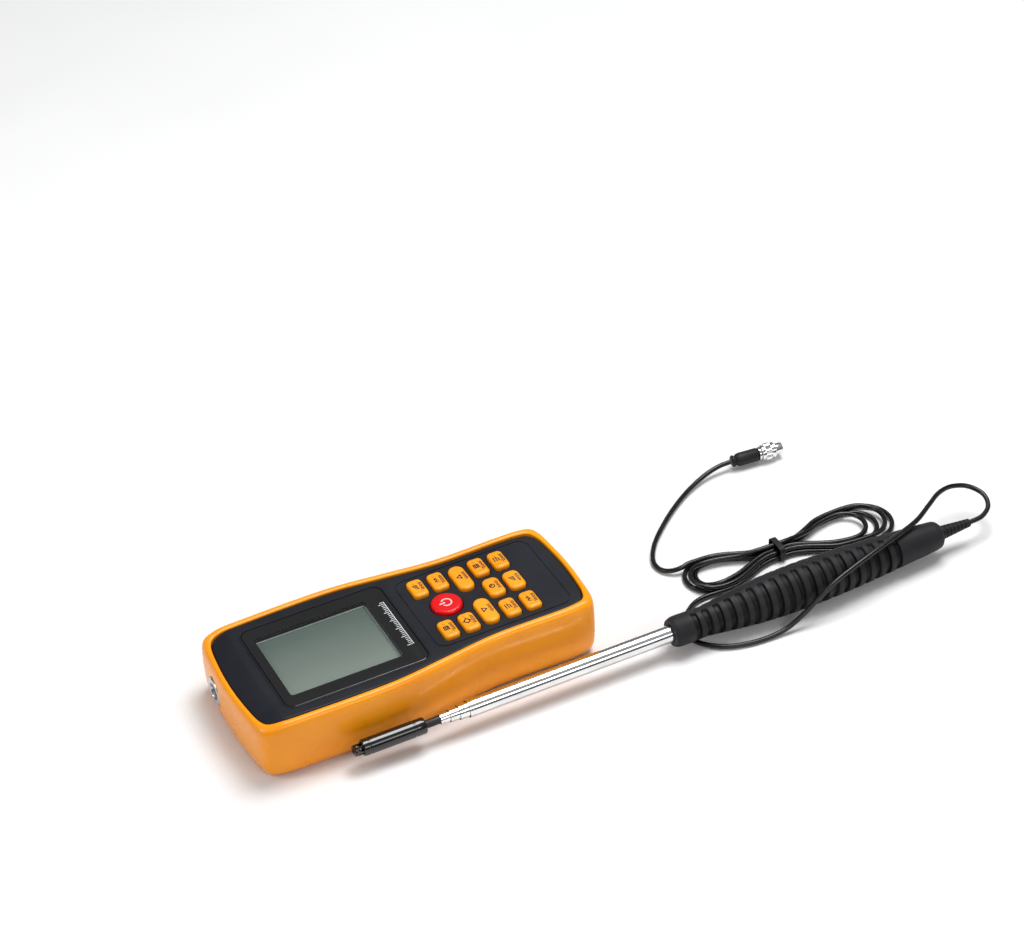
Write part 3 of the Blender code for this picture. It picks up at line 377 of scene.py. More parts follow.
def piece(name, bm, material, sharp_deg=SHARP_DEG, at=None):
    """A mesh object in metres from a bmesh in millimetres; `at` is a matrix in millimetres."""
    bmesh.ops.recalc_face_normals(bm, faces=bm.faces[:])
    if at is not None:
        bm.transform(at)
    bmesh.ops.scale(bm, vec=(MM, MM, MM), verts=bm.verts[:])
    mesh = bpy.data.meshes.new(name)
    bm.to_mesh(mesh)
    bm.free()
    mesh.shade_smooth()
    mesh.set_sharp_from_angle(angle=math.radians(sharp_deg))
    thing = bpy.data.objects.new(name, mesh)
    bpy.context.scene.collection.objects.link(thing)
    if material is not None:
        mesh.materials.append(MATERIALS[material])
    return thing


def show(thing, body, slot, *replaced):
    """Put a finished piece on its body and let it stand for CAD nodes."""
    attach(thing, body)
    if replaced:
        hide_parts(*replaced)
    return thing


def apply_forms(thing, forms, sharp_deg=SHARP_DEG, joined=()):
    """Cut each form out of a piece in turn, or join it on if it is in `joined`."""
    for other in forms:
        modifier = thing.modifiers.new("shape", "BOOLEAN")
        modifier.operation = "UNION" if other in joined else "DIFFERENCE"
        modifier.object = other
        modifier.solver = "EXACT"
    bpy.context.view_layer.update()
    graph = bpy.context.evaluated_depsgraph_get()
    finished = bpy.data.meshes.new_from_object(thing.evaluated_get(graph))
    thing.modifiers.clear()
    thing.data = finished
    for other in forms:
        bpy.data.objects.remove(other, do_unlink=True)
    finished.shade_smooth()
    finished.set_sharp_from_angle(angle=math.radians(sharp_deg))


def rounded_rectangle(size_x, size_y, corner, steps=8):
    """Outline about the origin, with `steps` segments round each corner."""
    points = []
    for quarter, (sx, sy) in enumerate(((1, 1), (-1, 1), (-1, -1), (1, -1))):
        centre = Vector((sx * (size_x / 2 - corner), sy * (size_y / 2 - corner)))
        for step in range(steps + 1):
            angle = math.pi / 2 * (quarter + step / steps)
            points.append(centre + Vector((math.cos(angle), math.sin(angle))) * corner)
    return points


def node_rectangle(node, corner, steps=8, growth=0.0):
    """A rounded rectangle the size of a CAD node's box in plan, or larger all round by `growth`."""
    low, high = corners(node)
    return rounded_rectangle(high.x - low.x + 2 * growth, high.y - low.y + 2 * growth, corner, steps)


def grown(outline, amount):
    """An outline moved outwards along its own normals."""
    count = len(outline)
    moved = []
    for i, point in enumerate(outline):
        along = (outline[(i + 1) % count] - outline[i - 1]).normalized()
        moved.append(point + Vector((along.y, -along.x)) * amount)
    return moved


def level_rings(bm, outline, levels, centre):
    """One ring of the outline for each (growth, z) level, about a centre in plan."""
    rings = []
    for growth, z in levels:
        rings.append(ring_verts(bm, [(p.x + centre[0], p.y + centre[1], z) for p in grown(outline, growth)]))
    return rings


def stacked(name, outline, levels, material, centre=(0.0, 0.0), at=None):
    """A solid from one outline at several (growth, z) levels."""
    bm = bmesh.new()
    rings = level_rings(bm, outline, levels, centre)
    bridge_all(bm, rings)
    bm.faces.new(rings[0])
    bm.faces.new(rings[-1])
    return piece(name, bm, material, at=at)


def ring_band(name, outline, levels, material, centre):
    """A closed band whose cross-section is the (growth, z) levels joined end to end."""
    bm = bmesh.new()
    rings = level_rings(bm, outline, levels, centre)
    bridge_all(bm, rings + rings[:1])
    return piece(name, bm, material)


def around_circle(count):
    """The angles of evenly spaced places round a circle."""
    return [2 * math.pi * i / count for i in range(count)]


def turned(name, profile, material, at, sides=64, ripple=None):
    """Spin a closed (x, radius) profile about X; ripple(radius, angle) may change a radius."""
    bm = bmesh.new()
    on_axis = {}
    rings = []
    for index, (x, radius) in enumerate(profile):
        if radius < 1e-6:
            on_axis[index] = bm.verts.new((x, 0.0, 0.0))
            rings.append(None)
            continue
        points = []
        for angle in around_circle(sides):
            r = ripple(radius, angle) if ripple else radius
            points.append((x, r * math.cos(angle), r * math.sin(angle)))
        rings.append(ring_verts(bm, points))
    for i in range(len(profile)):
        j = (i + 1) % len(profile)
        if rings[i] and rings[j]:
            bridge(bm, rings[i], rings[j])
        elif rings[i] or rings[j]:
            ring = rings[i] or rings[j]
            tip = on_axis[j] if rings[i] else on_axis[i]
            for k in range(sides):
                bm.faces.new((ring[k], ring[(k + 1) % sides], tip))
    return piece(name, bm, material, at=at)


def form(outline, levels, centre=(0.0, 0.0), at=None):
    """A stacked solid whose only use is to shape another piece."""
    return stacked("form", outline, levels, None, centre, at)


def round_form(profile, at, sides=64):
    """A turned solid whose only use is to shape another piece."""
    return turned("form", profile, None, at, sides)


def rod(start, end, radius):
    """Profile of a plain cylinder between two places on the X axis."""
    return ((start, 0.0), (start, radius), (end, radius), (end, 0.0))


def upright(place):
    """A frame at a plan point, with its X axis pointing up."""
    return Matrix.Translation((*place, 0.0)) @ Matrix.Rotation(-math.pi / 2, 4, "Y")


PROBE_FRAME = Matrix.Translation((0.0, PROBE_Y, PROBE_Z))
HANDLE_FRAME = PROBE_FRAME @ Matrix.Rotation(math.radians(HANDLE_ROLL), 4, "X")
PLUG_FRAME = Matrix.Translation(PLUG_AT) @ Matrix.Rotation(math.radians(PLUG_TURN), 4, "Z")


# ==== camera, lights and floor ====
def make_camera():
    """The camera looks down at the meter from in front of its near side, slightly rolled."""
    azimuth = math.radians(24.54)
    elevation = math.radians(37.10)
    roll = math.radians(-3.504)
    data = bpy.data.cameras.new("camera")
    data.sensor_width = 36.0
    data.lens = 100.5
    camera = bpy.data.objects.new("camera", data)
    camera.location = (-0.4179, -1.0689, 1.0003)
    look = Matrix.Rotation(-azimuth, 3, "Z") @ Matrix.Rotation(math.pi / 2 - elevation, 3, "X")
    camera.rotation_euler = (look @ Matrix.Rotation(roll, 3, "Z")).to_euler()
    bpy.context.scene.collection.objects.link(camera)
    bpy.context.scene.camera = camera


def area_light(name, place, target, size, power):
    data = bpy.data.lights.new(name, "AREA")
    data.shape = "RECTANGLE"
    data.size, data.size_y = size
    data.energy = power
    light = bpy.data.objects.new(name, data)
    light.location = place
    aim = Vector(target) - Vector(place)
    light.rotation_euler = aim.to_track_quat("-Z", "Y").to_euler()
    bpy.context.scene.collection.objects.link(light)


def make_world():
    """A dim studio: brighter overhead than near the horizon, so that gloss has something to show."""
    world = bpy.data.worlds.new("studio_world")
    world.use_nodes = True
    tree = world.node_tree
    coords = add_node(tree, "ShaderNodeTexCoord")
    parts = add_node(tree, "ShaderNodeSeparateXYZ", links={"Vector": coords.outputs["Generated"]})
    sky = ramp_between(tree, parts.outputs["Z"], (0.10, 0.105, 0.11), (0.80, 0.81, 0.83), 0.02, 0.95)
    set_inputs(tree, tree.nodes["Background"], {"Strength": 0.55}, {"Color": sky})
    bpy.context.scene.world = world
    bpy.context.scene.view_settings.view_transform = "Standard"


def make_floor():
    """A plain pale floor, a hair below the object so that the two don't flicker."""
    bm = bmesh.new()
    bmesh.ops.create_grid(bm, x_segments=8, y_segments=8, size=6000.0)
    floor = piece("floor", bm, None)
    material, tree, shader = new_material("pale_floor")
    colour = ramp_between(tree, object_noise(tree, 3.0, 3.0), (0.80, 0.80, 0.80), (0.84, 0.84, 0.84))
    set_inputs(tree, shader, {"Roughness": 0.7, "Specular IOR Level": 0.2}, {"Base Color": colour})
    floor.data.materials.append(material)
    floor.location.z = -0.0002


def make_stage():
    aim = (0.12, 0.0, 0.0)
    area_light("key_softbox", (0.50, 0.22, 1.42), aim, (0.8, 0.8), 21.0)
    area_light("front_fill", (0.20, -1.5, 1.0), aim, (1.2, 0.5), 7.5)
    area_light("left_strip", (-1.25, 0.25, 0.8), aim, (0.25, 1.1), 6.0)
    make_world()
    make_floor()


# ==== meter ====
DISPLAY_OPENING = (64.0, 51.0)      # through the front shell
PANE_SIZE = (63.2, 50.2)            # clear part of the window
LCD_VIEW = (63.0, 50.0)             # edge of the liquid crystal's glass
CUT_ABOVE = FACE_Z + 3.0            # forms that cut the face end up here
CUT_BELOW = FACE_Z - 6.0
KEY_FLANGE = 0.7                    # width and thickness of the flange under a key's hole
LONG_KEY = 19.4                     # a key that is wider than this, flange included, has round ends
CREASE_BOW = 2.0                    # the face's crease bows this far over CREASE_SPAN
CREASE_SPAN = 40.0
ROLL_SLOPE = 0.6                    # share of the face's roll that is a straight slope
RIM_LOW = 0.3                       # the rim's height over the face at the display end
RIM_FOLLOWS = 0.6                   # share of the face's roll that the rim follows


def meter_outline(inset, per_span=14):
    """Plan outline of the meter, drawn in by `inset` at the sides and END_SHARE of it at the ends."""
    end = METER_LENGTH / 2 - inset * END_SHARE
    wide = DISPLAY_WIDTH / 2 - inset
    grip = GRIP_WIDTH / 2 - inset
    half = [
        (-end, 0.0), (-end + 1.0, wide * 0.5), (-end + 2.9, wide - 7.6), (-end + 5.2, wide - 3.3),
        (-end + 10.5, wide - 1.2), (-end + 32.0, wide), (WAIST_FROM, wide),
        ((WAIST_FROM + WAIST_TO) / 2, (wide + grip) / 2), (WAIST_TO, grip), (end - 11.5, grip - 0.3),
        (end - 4.6, grip - 2.3), (end - 2.1, grip - 7.4), (end - 0.8, grip * 0.5), (end, 0.0),
    ]
    mirrored = [(x, -y) for x, y in reversed(half[1:-1])]
    return catmull_rom([(x, y, 0.0) for x, y in half + mirrored], per_span, closed=True)


def face_z(x, y=0.0):
    """Height of the front face: a crease that follows the end wall, then a roll down to the rim."""
    crease = ROLL_FROM + CREASE_BOW * (y / CREASE_SPAN) ** 2
    if x >= crease:
        return FACE_Z
    past = (crease - x) / (METER_LENGTH / 2 + ROLL_FROM)
    return FACE_Z - ROLL_DROP * past * (ROLL_SLOPE + (1.0 - ROLL_SLOPE) * past)


def rim_z(x):
    """Height of the rim's crest: lowest round the display end, highest at the keypad end."""
    share = (x + METER_LENGTH / 2) / METER_LENGTH
    return FACE_Z + RIM_LOW + (RIM_RISE - RIM_LOW) * share - (FACE_Z - face_z(x)) * RIM_FOLLOWS


def outline_ring(bm, inset, height):
    """The meter's outline at a height, which is a number or a function of x and y."""
    level = height if callable(height) else (lambda x, y: height)
    return ring_verts(bm, [(p.x, p.y, level(p.x, p.y)) for p in meter_outline(inset)])


def cap_grid(bm, ring, level, columns=14):
    """Close a ring that is symmetric about y = 0 with a grid whose height is level(x, y)."""
    count = len(ring)
    half = count // 2
    rows = []
    for i in range(1, half):
        a, b = ring[i], ring[count - i]
        row = [a]
        for c in range(1, columns):
            spot = a.co.lerp(b.co, c / columns)
            row.append(bm.verts.new((spot.x, spot.y, level(spot.x, spot.y))))
        rows.append(row + [b])
    for row_a, row_b in zip(rows, rows[1:]):
        for c in range(columns):
            bm.faces.new((row_a[c], row_a[c + 1], row_b[c + 1], row_b[c]))
    for tip, row in ((ring[0], rows[0]), (ring[half], rows[-1])):
        for c in range(columns):
            bm.faces.new((tip, row[c], row[c + 1]))


def smooth_section(points, per_span):
    """A section of (inset, z offset) points made into a smooth run."""
    return [(p.x, p.y) for p in catmull_rom([(a, b, 0.0) for a, b in points], per_span)]


def screw_places():
    """Centres of the four housing screws, from the CAD model."""
    return [middle(f"housing_screw_{number}").xy for number in range(1, 5)]


def make_rear_housing():
    """Orange tub with a softly rolled rim, cut for the door, the screws and the socket."""
    bm = bmesh.new()
    wall = smooth_section([(7.0, 0.0), (5.2, 0.25), (3.0, 1.9), (1.3, 5.0), (0.35, 10.5), (0.0, 20.0)], 3)
    rings = [outline_ring(bm, inset, z) for inset, z in wall]
    rim = smooth_section([(0.15, -7.0), (0.45, -3.4), (1.25, -1.25), (2.6, -0.15), (3.6, 0.0), (4.6, -0.2),
                          (RIM_WIDTH, -0.7)], 3)
    for inset, drop in rim:
        rings.append(outline_ring(bm, inset, lambda x, y, d=drop: rim_z(x) + d))
    under = SKIRT_Z + 2.6
    for inset, z in ((RIM_WIDTH, under), (REAR_WALL, under - 2.4), (REAR_WALL + 0.6, 9.0),
                     (REAR_WALL + 3.6, REAR_FLOOR)):
        rings.append(outline_ring(bm, inset, z))
    bridge_all(bm, rings)
    cap_grid(bm, rings[0], lambda x, y: 0.0, 2)
    cap_grid(bm, rings[-1], lambda x, y: REAR_FLOOR, 2)
    housing = piece("rear_housing_shell", bm, "orange")
    door = form(node_rectangle("battery_door", 3.0, growth=GAP), ((0.0, -1.0), (0.0, REAR_FLOOR + 1.0)),
                middle("battery_door"))
    recess = ((-1.0, 0.0), (-1.0, 3.2), (1.3, 3.2), (1.3, 1.7), (4.0, 1.7), (4.0, 0.0))
    screws = [round_form(recess, upright(place), 40) for place in screw_places()]
    seat, hole = socket_forms()
    apply_forms(housing, [door, *screws, seat, hole], joined=[seat])
    show(housing, "meter", "orange_plastic", "rear_housing")


def socket_forms():
    """The boss inside the end wall that seats the probe's socket, and the stepped hole through it."""
    low, high = corners("probe_socket")
    centre = middle("probe_socket")
    at = Matrix.Translation((0.0, centre.y, centre.z))
    wall = REAR_LOW.x
    flange = (high.y - low.y) / 2
    hole_radius = 6.2
    seat = round_form(rod(wall + 2.2, wall + 10.0, flange + 2.0), at)
    hole = round_form(((wall - 5.0, 0.0), (wall - 5.0, flange + 0.35), (low.x + 1.4, flange + 0.35),
                       (low.x + 1.4, hole_radius), (wall + 15.0, hole_radius), (wall + 15.0, 0.0)), at)
    return seat, hole


def window_outline():
    return node_rectangle("display_window", 5.0, 12), middle("display_window")


def key_form(node):
    """Outline and centre of a key's cap, from its CAD box less its flange."""
    low, high = corners(node)
    half = (high.x - low.x) / 2 - KEY_FLANGE
    if node == "key_power":
        outline = [Vector((math.cos(a), math.sin(a))) * half for a in around_circle(64)]
    elif high.y - low.y > LONG_KEY:
        outline = node_rectangle(node, half - 0.2, 10, -KEY_FLANGE)
    else:
        outline = node_rectangle(node, 3.4 if node.startswith("key_middle") else 2.6, 9, -KEY_FLANGE)
    return outline, middle(node)


KEYS = sorted(name for name in NODES if name.startswith("key_"))


def make_front_housing():
    """Charcoal shell: rolled display end, window recess, keypad groove and thirteen key holes."""
    bm = bmesh.new()
    outer = RIM_WIDTH + GAP
    inner = outer + SKIRT_WALL

    def underside(x, y):
        return face_z(x, y) - FRONT_PLATE

    rings = [outline_ring(bm, inner, underside), outline_ring(bm, inner, SKIRT_Z),
             outline_ring(bm, outer, SKIRT_Z)]
    for inset, drop in ((0.0, 1.5), (0.25, 1.1), (0.33, 0.65), (0.55, 0.25), (0.95, 0.04), (1.4, 0.0)):
        rings.append(outline_ring(bm, outer + inset, lambda x, y, d=drop: face_z(x, y) - d))
    bridge_all(bm, rings)
    cap_grid(bm, rings[0], underside, 10)
    cap_grid(bm, rings[-1], face_z, 16)
    housing = piece("front_housing_shell", bm, "charcoal")
    outline, centre = window_outline()
    seat_z = corners("display_window")[0].z - 0.3
    view = rounded_rectangle(*DISPLAY_OPENING, 1.0, 4)
    forms = [form(outline, ((0.3, seat_z), (0.3, CUT_ABOVE)), centre),
             form(view, ((0.0, CUT_BELOW), (0.0, CUT_ABOVE)), middle("lcd_module"))]
    key_hole = ((0.3, CUT_BELOW), (0.3, FACE_Z - 0.35), (0.7, FACE_Z + 0.05), (0.7, CUT_ABOVE))
    for node in KEYS:
        key_outline, key_centre = key_form(node)
        forms.append(form(key_outline, key_hole, key_centre))
    forms.append(keypad_groove_form())
    apply_forms(housing, forms)
    show(housing, "meter", "charcoal_plastic", "front_housing")
    section = ((1.5, -0.2), (1.5, 0.12), (1.25, 0.34), (0.95, 0.42), (0.62, 0.34), (0.42, 0.1), (0.42, -0.2))
    levels = [(growth, FACE_Z + z) for growth, z in section]
    lip = ring_band("window_lip", outline, levels, "charcoal", centre)
    show(lip, "meter", "charcoal_plastic")


def keypad_groove_form():
    """Cutter for the fine groove that frames the keypad, parallel to the meter's sides."""
    left = corners("key_power")[0].x - 9.0
    right = METER_LENGTH / 2 - 12.5
    half = GRIP_WIDTH / 2 - RIM_WIDTH - 4.2
    outline = rounded_rectangle(right - left, 2 * half, 6.0, 10)
    half_width = 0.32
    floor = FACE_Z - 0.35
    above = FACE_Z + 1.0
    section = ((-half_width, floor), (half_width, floor), (half_width, above), (-half_width, above))
    return ring_band("form", outline, section, None, ((left + right) / 2, 0.0))


def make_display():
    """Window with its printed black border, clear pane, and the panel below."""
    outline, centre = window_outline()
    low, high = corners("display_window")
    under, top = low.z, high.z
    lcd_centre = middle("lcd_module")
    shift = Vector((lcd_centre.x - centre.x, 0.0))
    pane_outline = [p + shift for p in rounded_rectangle(*PANE_SIZE, 1.6, 8)]
    border = stacked("window_border", outline, ((-0.15, under), (0.0, under + 0.2), (0.0, top - 0.25),
                     (-0.12, top - 0.06), (-0.35, top)), "black", centre)
    apply_forms(border, [form(pane_outline, ((0.0, under - 1.0), (0.0, top + 1.0)), centre)])
    show(border, "meter", "window_glass", "display_window")
    pane = stacked("window_pane", pane_outline, ((-0.03, top - 0.5), (-0.03, top)), "window", centre)
    show(pane, "meter", "window_glass")
    low, high = corners("lcd_module")
    panel = stacked("lcd_panel", node_rectangle("lcd_module", 1.0, 4),
                    ((0.0, low.z), (0.0, high.z - 0.05), (-0.05, high.z)), "lcd", lcd_centre)
    show(panel, "meter", "lcd_glass", "lcd_module")
    edge = ring_band("lcd_glass_edge", rounded_rectangle(*LCD_VIEW, 1.2, 6),
                     ((0.1, high.z + 0.02), (0.1, high.z + 0.3), (-0.28, high.z + 0.3),
                      (-0.5, high.z + 0.02)), "lcd_edge", lcd_centre)
    show(edge, "meter", "lcd_glass")
    make_window_print(top)


def make_window_print(top):
    """A generic printed scale on the window's border: a base line and ticks, no words."""
    band = (ends("lcd_module")[1] - 2.0 + ends("display_window")[1]) / 2
    bm = bmesh.new()
    ticks = 27
    span = 38.0
    for i in range(ticks):
        y = -span / 2 + span * i / (ticks - 1)
        tall = 3.0 if i % 5 == 0 else 1.7
        add_bar(bm, (band + 1.4 - tall / 2, y), (tall, 0.45), top + 0.01, 0.05)
    add_bar(bm, (band + 1.9, 0.0), (0.4, span + 0.45), top + 0.01, 0.05)
    show(piece("window_print", bm, "print"), "meter", "window_glass")


def add_bar(bm, centre, size, z_low, thick, angle=0.0):
    """A thin flat bar of ink."""
    made = bmesh.ops.create_cube(bm, size=1.0)["verts"]
    bmesh.ops.scale(bm, vec=(size[0], size[1], thick), verts=made)
    bmesh.ops.rotate(bm, cent=(0, 0, 0), matrix=Matrix.Rotation(angle, 3, "Z"), verts=made)
    bmesh.ops.translate(bm, vec=(centre[0], centre[1], z_low + thick / 2), verts=made)


def make_keys():
    """Domed caps with a soft shoulder, and a small generic sign on each."""
    for node in KEYS:
        outline, centre = key_form(node)
        base, top = (corner.z for corner in corners(node))
        flange_top = base + KEY_FLANGE
        crown = smooth_section([(0.0, top - 2.2), (-0.06, top - 1.25), (-0.5, top - 0.5), (-1.2, top - 0.14),
                                (-2.0, top - 0.02), (-2.8, top)], 3)
        levels = [(KEY_FLANGE, base), (KEY_FLANGE, flange_top), (0.0, flange_top)] + crown
        if node == "key_power":
            material, slot, make_sign = "red", "red_plastic", power_sign
        else:
            material, slot, make_sign = "key", "key_plastic", key_sign
        show(stacked(node + "_cap", outline, levels, material, centre), node, slot, node)
        show(make_sign(node, centre, top), node, slot)


def power_sign(node, centre, top):
    """The standard stand-by sign: a broken ring and a bar."""
    bm = bmesh.new()
    steps = 22
    gap = 0.62
    radius = 2.7
    line = 0.75
    arc = 2 * math.pi - 2 * gap
    overlap = 1.12
    for i in range(steps):
        angle = gap + arc * (i + 0.5) / steps
        spot = (centre.x - radius * math.cos(angle), centre.y + radius * math.sin(angle))
        add_bar(bm, spot, (line, radius * arc / steps * overlap), top, 0.06, -angle)
    add_bar(bm, (centre.x - 2.4, centre.y), (3.2, line), top, 0.06)
    return piece(node + "_sign", bm, "print")


def stroke(bm, start, end, width, top):
    """A line of ink between two plan points."""
    run = Vector(end) - Vector(start)
    centre = (Vector(start) + Vector(end)) / 2
    add_bar(bm, centre, (run.length + width * 0.6, width), top - INK_SUNK, INK_SUNK + 0.05,
            math.atan2(run.y, run.x))


# Line art of the keys' signs, about 4 mm across: each is a few chains of (up, right) points.
RING = [(1.5 * math.cos(math.radians(a)), 1.5 * math.sin(math.radians(a))) for a in range(0, 361, 45)]
BOX = ((-1.3, -1.3), (-1.3, 1.3), (1.3, 1.3), (1.3, -1.3), (-1.3, -1.3))
ARROW = ((-1.1, -1.6), (1.3, 0.0), (-1.1, 1.6), (-1.1, -1.6))
SIGNS = {
    "up": (ARROW,),
    "down": ([(-up, right) for up, right in ARROW],),
    "clock": (RING, ((0.0, 0.0), (1.1, 0.0)), ((0.0, 0.0), (0.0, 0.9))),
    "box": (BOX, ((-0.5, -0.7), (-0.5, 0.7)), ((0.4, -0.7), (0.4, 0.7))),
    "lines": (((1.3, -1.7), (1.3, 1.7)), ((0.0, -1.7), (0.0, 1.7)), ((-1.3, -1.7), (-1.3, 0.6))),
    "wave": (((-0.8, -2.0), (0.8, -1.0), (-0.8, 0.0), (0.8, 1.0), (-0.8, 2.0)),),
    "bars": (((-1.3, -1.5), (-0.3, -1.5)), ((-1.3, -0.5), (0.4, -0.5)), ((-1.3, 0.5), (1.0, 0.5)),
             ((-1.3, 1.5), (1.5, 1.5))),
    "lamp": (RING, ((1.9, 0.0), (2.3, 0.0)), ((-1.9, 0.0), (-2.3, 0.0)), ((0.0, 1.9), (0.0, 2.3)),
             ((0.0, -1.9), (0.0, -2.3))),
}
KEY_SIGNS = {
    "key_left_1": "bars", "key_left_2": "wave", "key_left_3": "up", "key_left_4": "box",
    "key_left_5": "lines", "key_middle_4": "clock", "key_middle_5": "bars", "key_right_1": "box",
    "key_right_2": "lamp", "key_right_3": "down", "key_right_4": "lines", "key_right_5": "wave",
}
SIGN_STROKE = 0.64
SIGN_RAISED = 1.05                  # a sign's middle lies this far above its key's centre
INK_SUNK = 0.12                     # the ink's bars start this far under a key's crown


def key_sign(node, centre, top):
    """A small line icon over a short row of ticks, in dark ink."""
    bm = bmesh.new()
    for chain in SIGNS[KEY_SIGNS[node]]:
        spots = [(centre.x - SIGN_RAISED - up, centre.y + right) for up, right in chain]
        for start, end in zip(spots, spots[1:]):
            stroke(bm, start, end, SIGN_STROKE, top)
    number = KEYS.index(node)
    row_x = centre.x + 2.3
    for i in range(6):
        tall = 0.95 + 0.5 * ((number * 5 + i * 3) % 2)
        y = centre.y + (i - 2.5) * 1.1
        stroke(bm, (row_x - tall / 2, y), (row_x + tall / 2, y), SIGN_STROKE, top)
    return piece(node + "_sign", bm, "glyph")


def make_battery_door():
    """Orange door with a thumb notch and sunk grip lines, inside the CAD door's box."""
    low, high = corners("battery_door")
    levels = ((-0.4, low.z), (-0.1, low.z + 0.12), (0.0, low.z + 0.4), (0.0, high.z))
    door = stacked("battery_door_cover", node_rectangle("battery_door", 2.7), levels, "orange",
                   middle("battery_door"))
    below = low.z - 0.5
    notch_x = low.x + 5.7
    notch = rounded_rectangle(3.0, 16.0, 1.4, 8)
    forms = [form(notch, ((0.5, below), (-0.3, low.z + 0.8)), (notch_x, 0.0))]
    for i in range(5):
        line = rounded_rectangle(0.9, 22.0 - 2.5 * i, 0.4, 6)
        forms.append(form(line, ((0.2, below), (-0.1, low.z + 0.35)), (notch_x + 4.5 + 2.1 * i, 0.0)))
    apply_forms(door, forms)
    show(door, "battery_door", "orange_plastic", "battery_door")


def make_screws():
    """Cross-head screws with a rounded head and a sunk cross."""
    shank = 1.4
    for number, place in enumerate(screw_places(), 1):
        node = f"housing_screw_{number}"
        low, high = corners(node)
        head = (high.x - low.x) / 2
        profile = ((low.z, 0.0), (low.z, head * 0.55), (low.z + 0.12, head * 0.86), (low.z + 0.32, head),
                   (low.z + 0.6, head), (low.z + 0.6, shank), (high.z - 0.8, shank), (high.z, 0.0))
        screw = turned(f"{node}_turned", profile, "steel", upright(place), 40)
        depth = ((0.0, low.z - 0.5), (-0.05, low.z + 0.42))
        cross = [form(rounded_rectangle(*size, 0.1, 2), depth, place) for size in ((2.6, 0.6), (0.6, 2.6))]
        apply_forms(screw, cross)
        show(screw, "meter", "steel", node)


def make_socket():
    """Round connector: chamfered flange, threaded look in the bore, insert with contacts."""
    low, high = corners("probe_socket")
    centre = middle("probe_socket")
    at = Matrix.Translation((0.0, centre.y, centre.z))
    flange = (high.y - low.y) / 2
    barrel = 5.9
    bore = 4.6
    x = low.x
    profile = [(x + 0.35, bore), (x, bore + 0.3), (x, flange - 0.35), (x + 0.35, flange), (x + 1.1, flange),
               (x + 1.1, barrel), (high.x, barrel), (high.x, 0.0), (x + 11.0, 0.0), (x + 11.0, bore)]
    thread_pitch = 0.9
    for i in range(9, 0, -1):
        profile += [(x + 0.8 + i * thread_pitch, bore), (x + 0.5 + i * thread_pitch, bore - 0.18)]
    show(turned("probe_socket_turned", profile, "steel", at, 56), "meter", "steel", "probe_socket")
    insert = ((x + 6.2, 0.0), (x + 6.2, 3.7), (x + 6.5, 4.0), (x + 10.8, 4.0), (x + 10.8, 0.0))
    core = turned("socket_insert", insert, "dark_inside", at, 40)
    holes = []
    for angle in around_circle(5):
        spot = Matrix.Translation((0.0, centre.y + 2.2 * math.cos(angle), centre.z + 2.2 * math.sin(angle)))
        holes.append(round_form(rod(x + 5.0, x + 9.0, 0.55), spot, 16))
    apply_forms(core, holes)
    show(core, "meter", "black_plastic")


# ==== probe ====
GROOVE_COUNT = 19
GROOVE_FIRST = 13.0
GROOVE_PITCH = 6.87
GROOVE_WIDTH = 3.2
GROOVE_DEPTH = 1.6
GROOVE_REACH = 73.0                 # degrees each way from the middle of a half shell
GROOVE_EDGE = 0.35
SEAM_ROUND = 0.6                    # the shells' edges are rounded over this width at their seam
SEAM_DEPTH = 0.25
SEAM_GAP = 0.06                     # half the gap between the shells
GRIP_SHARP_DEG = 55.0
CURVE_SHARE = 100.0                 # radii are divided by this while the profile is made into a curve
TUBE_SEAT_SHARE = 0.11              # the front of the grip, up to this share, holds the mast
TAIL_SHARE = 0.96                   # from here on the grip holds the strain relief
TAIL_BORE = 4.3
GRIP_WALL = 2.2

HANDLE_CURVE = catmull_rom([(share, radius / CURVE_SHARE, 0.0) for share, radius in HANDLE_PROFILE], 24)


def handle_radius(share):
    """Outer radius of the grip at a share of its length."""
    for a, b in zip(HANDLE_CURVE, HANDLE_CURVE[1:]):
        if b.x >= share:
            return CURVE_SHARE * (a.y + (b.y - a.y) * (share - a.x) / max(b.x - a.x, 1e-9))
    return HANDLE_PROFILE[-1][1]


def groove_share(along, around, radius):
    """0 on a land and 1 on a groove's floor: the grooves are round-ended slots across each half."""
    nearest = round((along - GROOVE_FIRST) / GROOVE_PITCH)
    nearest = min(max(nearest, 0), GROOVE_COUNT - 1)
    dx = along - (GROOVE_FIRST + GROOVE_PITCH * nearest)
    reach = math.radians(GROOVE_REACH) * radius - GROOVE_WIDTH / 2
    over = max(abs(around) * radius - reach, 0.0)
    distance = math.hypot(dx, over) - GROOVE_WIDTH / 2
    share = min(max(0.5 - distance / GROOVE_EDGE, 0.0), 1.0)
    return share * share * (3.0 - 2.0 * share)


def handle_bore(share, radius):
    """Inner radius of the grip: a snug bore at each end and an even wall between."""
    if share <= TUBE_SEAT_SHARE:
        return TUBE_RADII[0] + GAP
    if share >= TAIL_SHARE:
        return TAIL_BORE
    return radius - GRIP_WALL


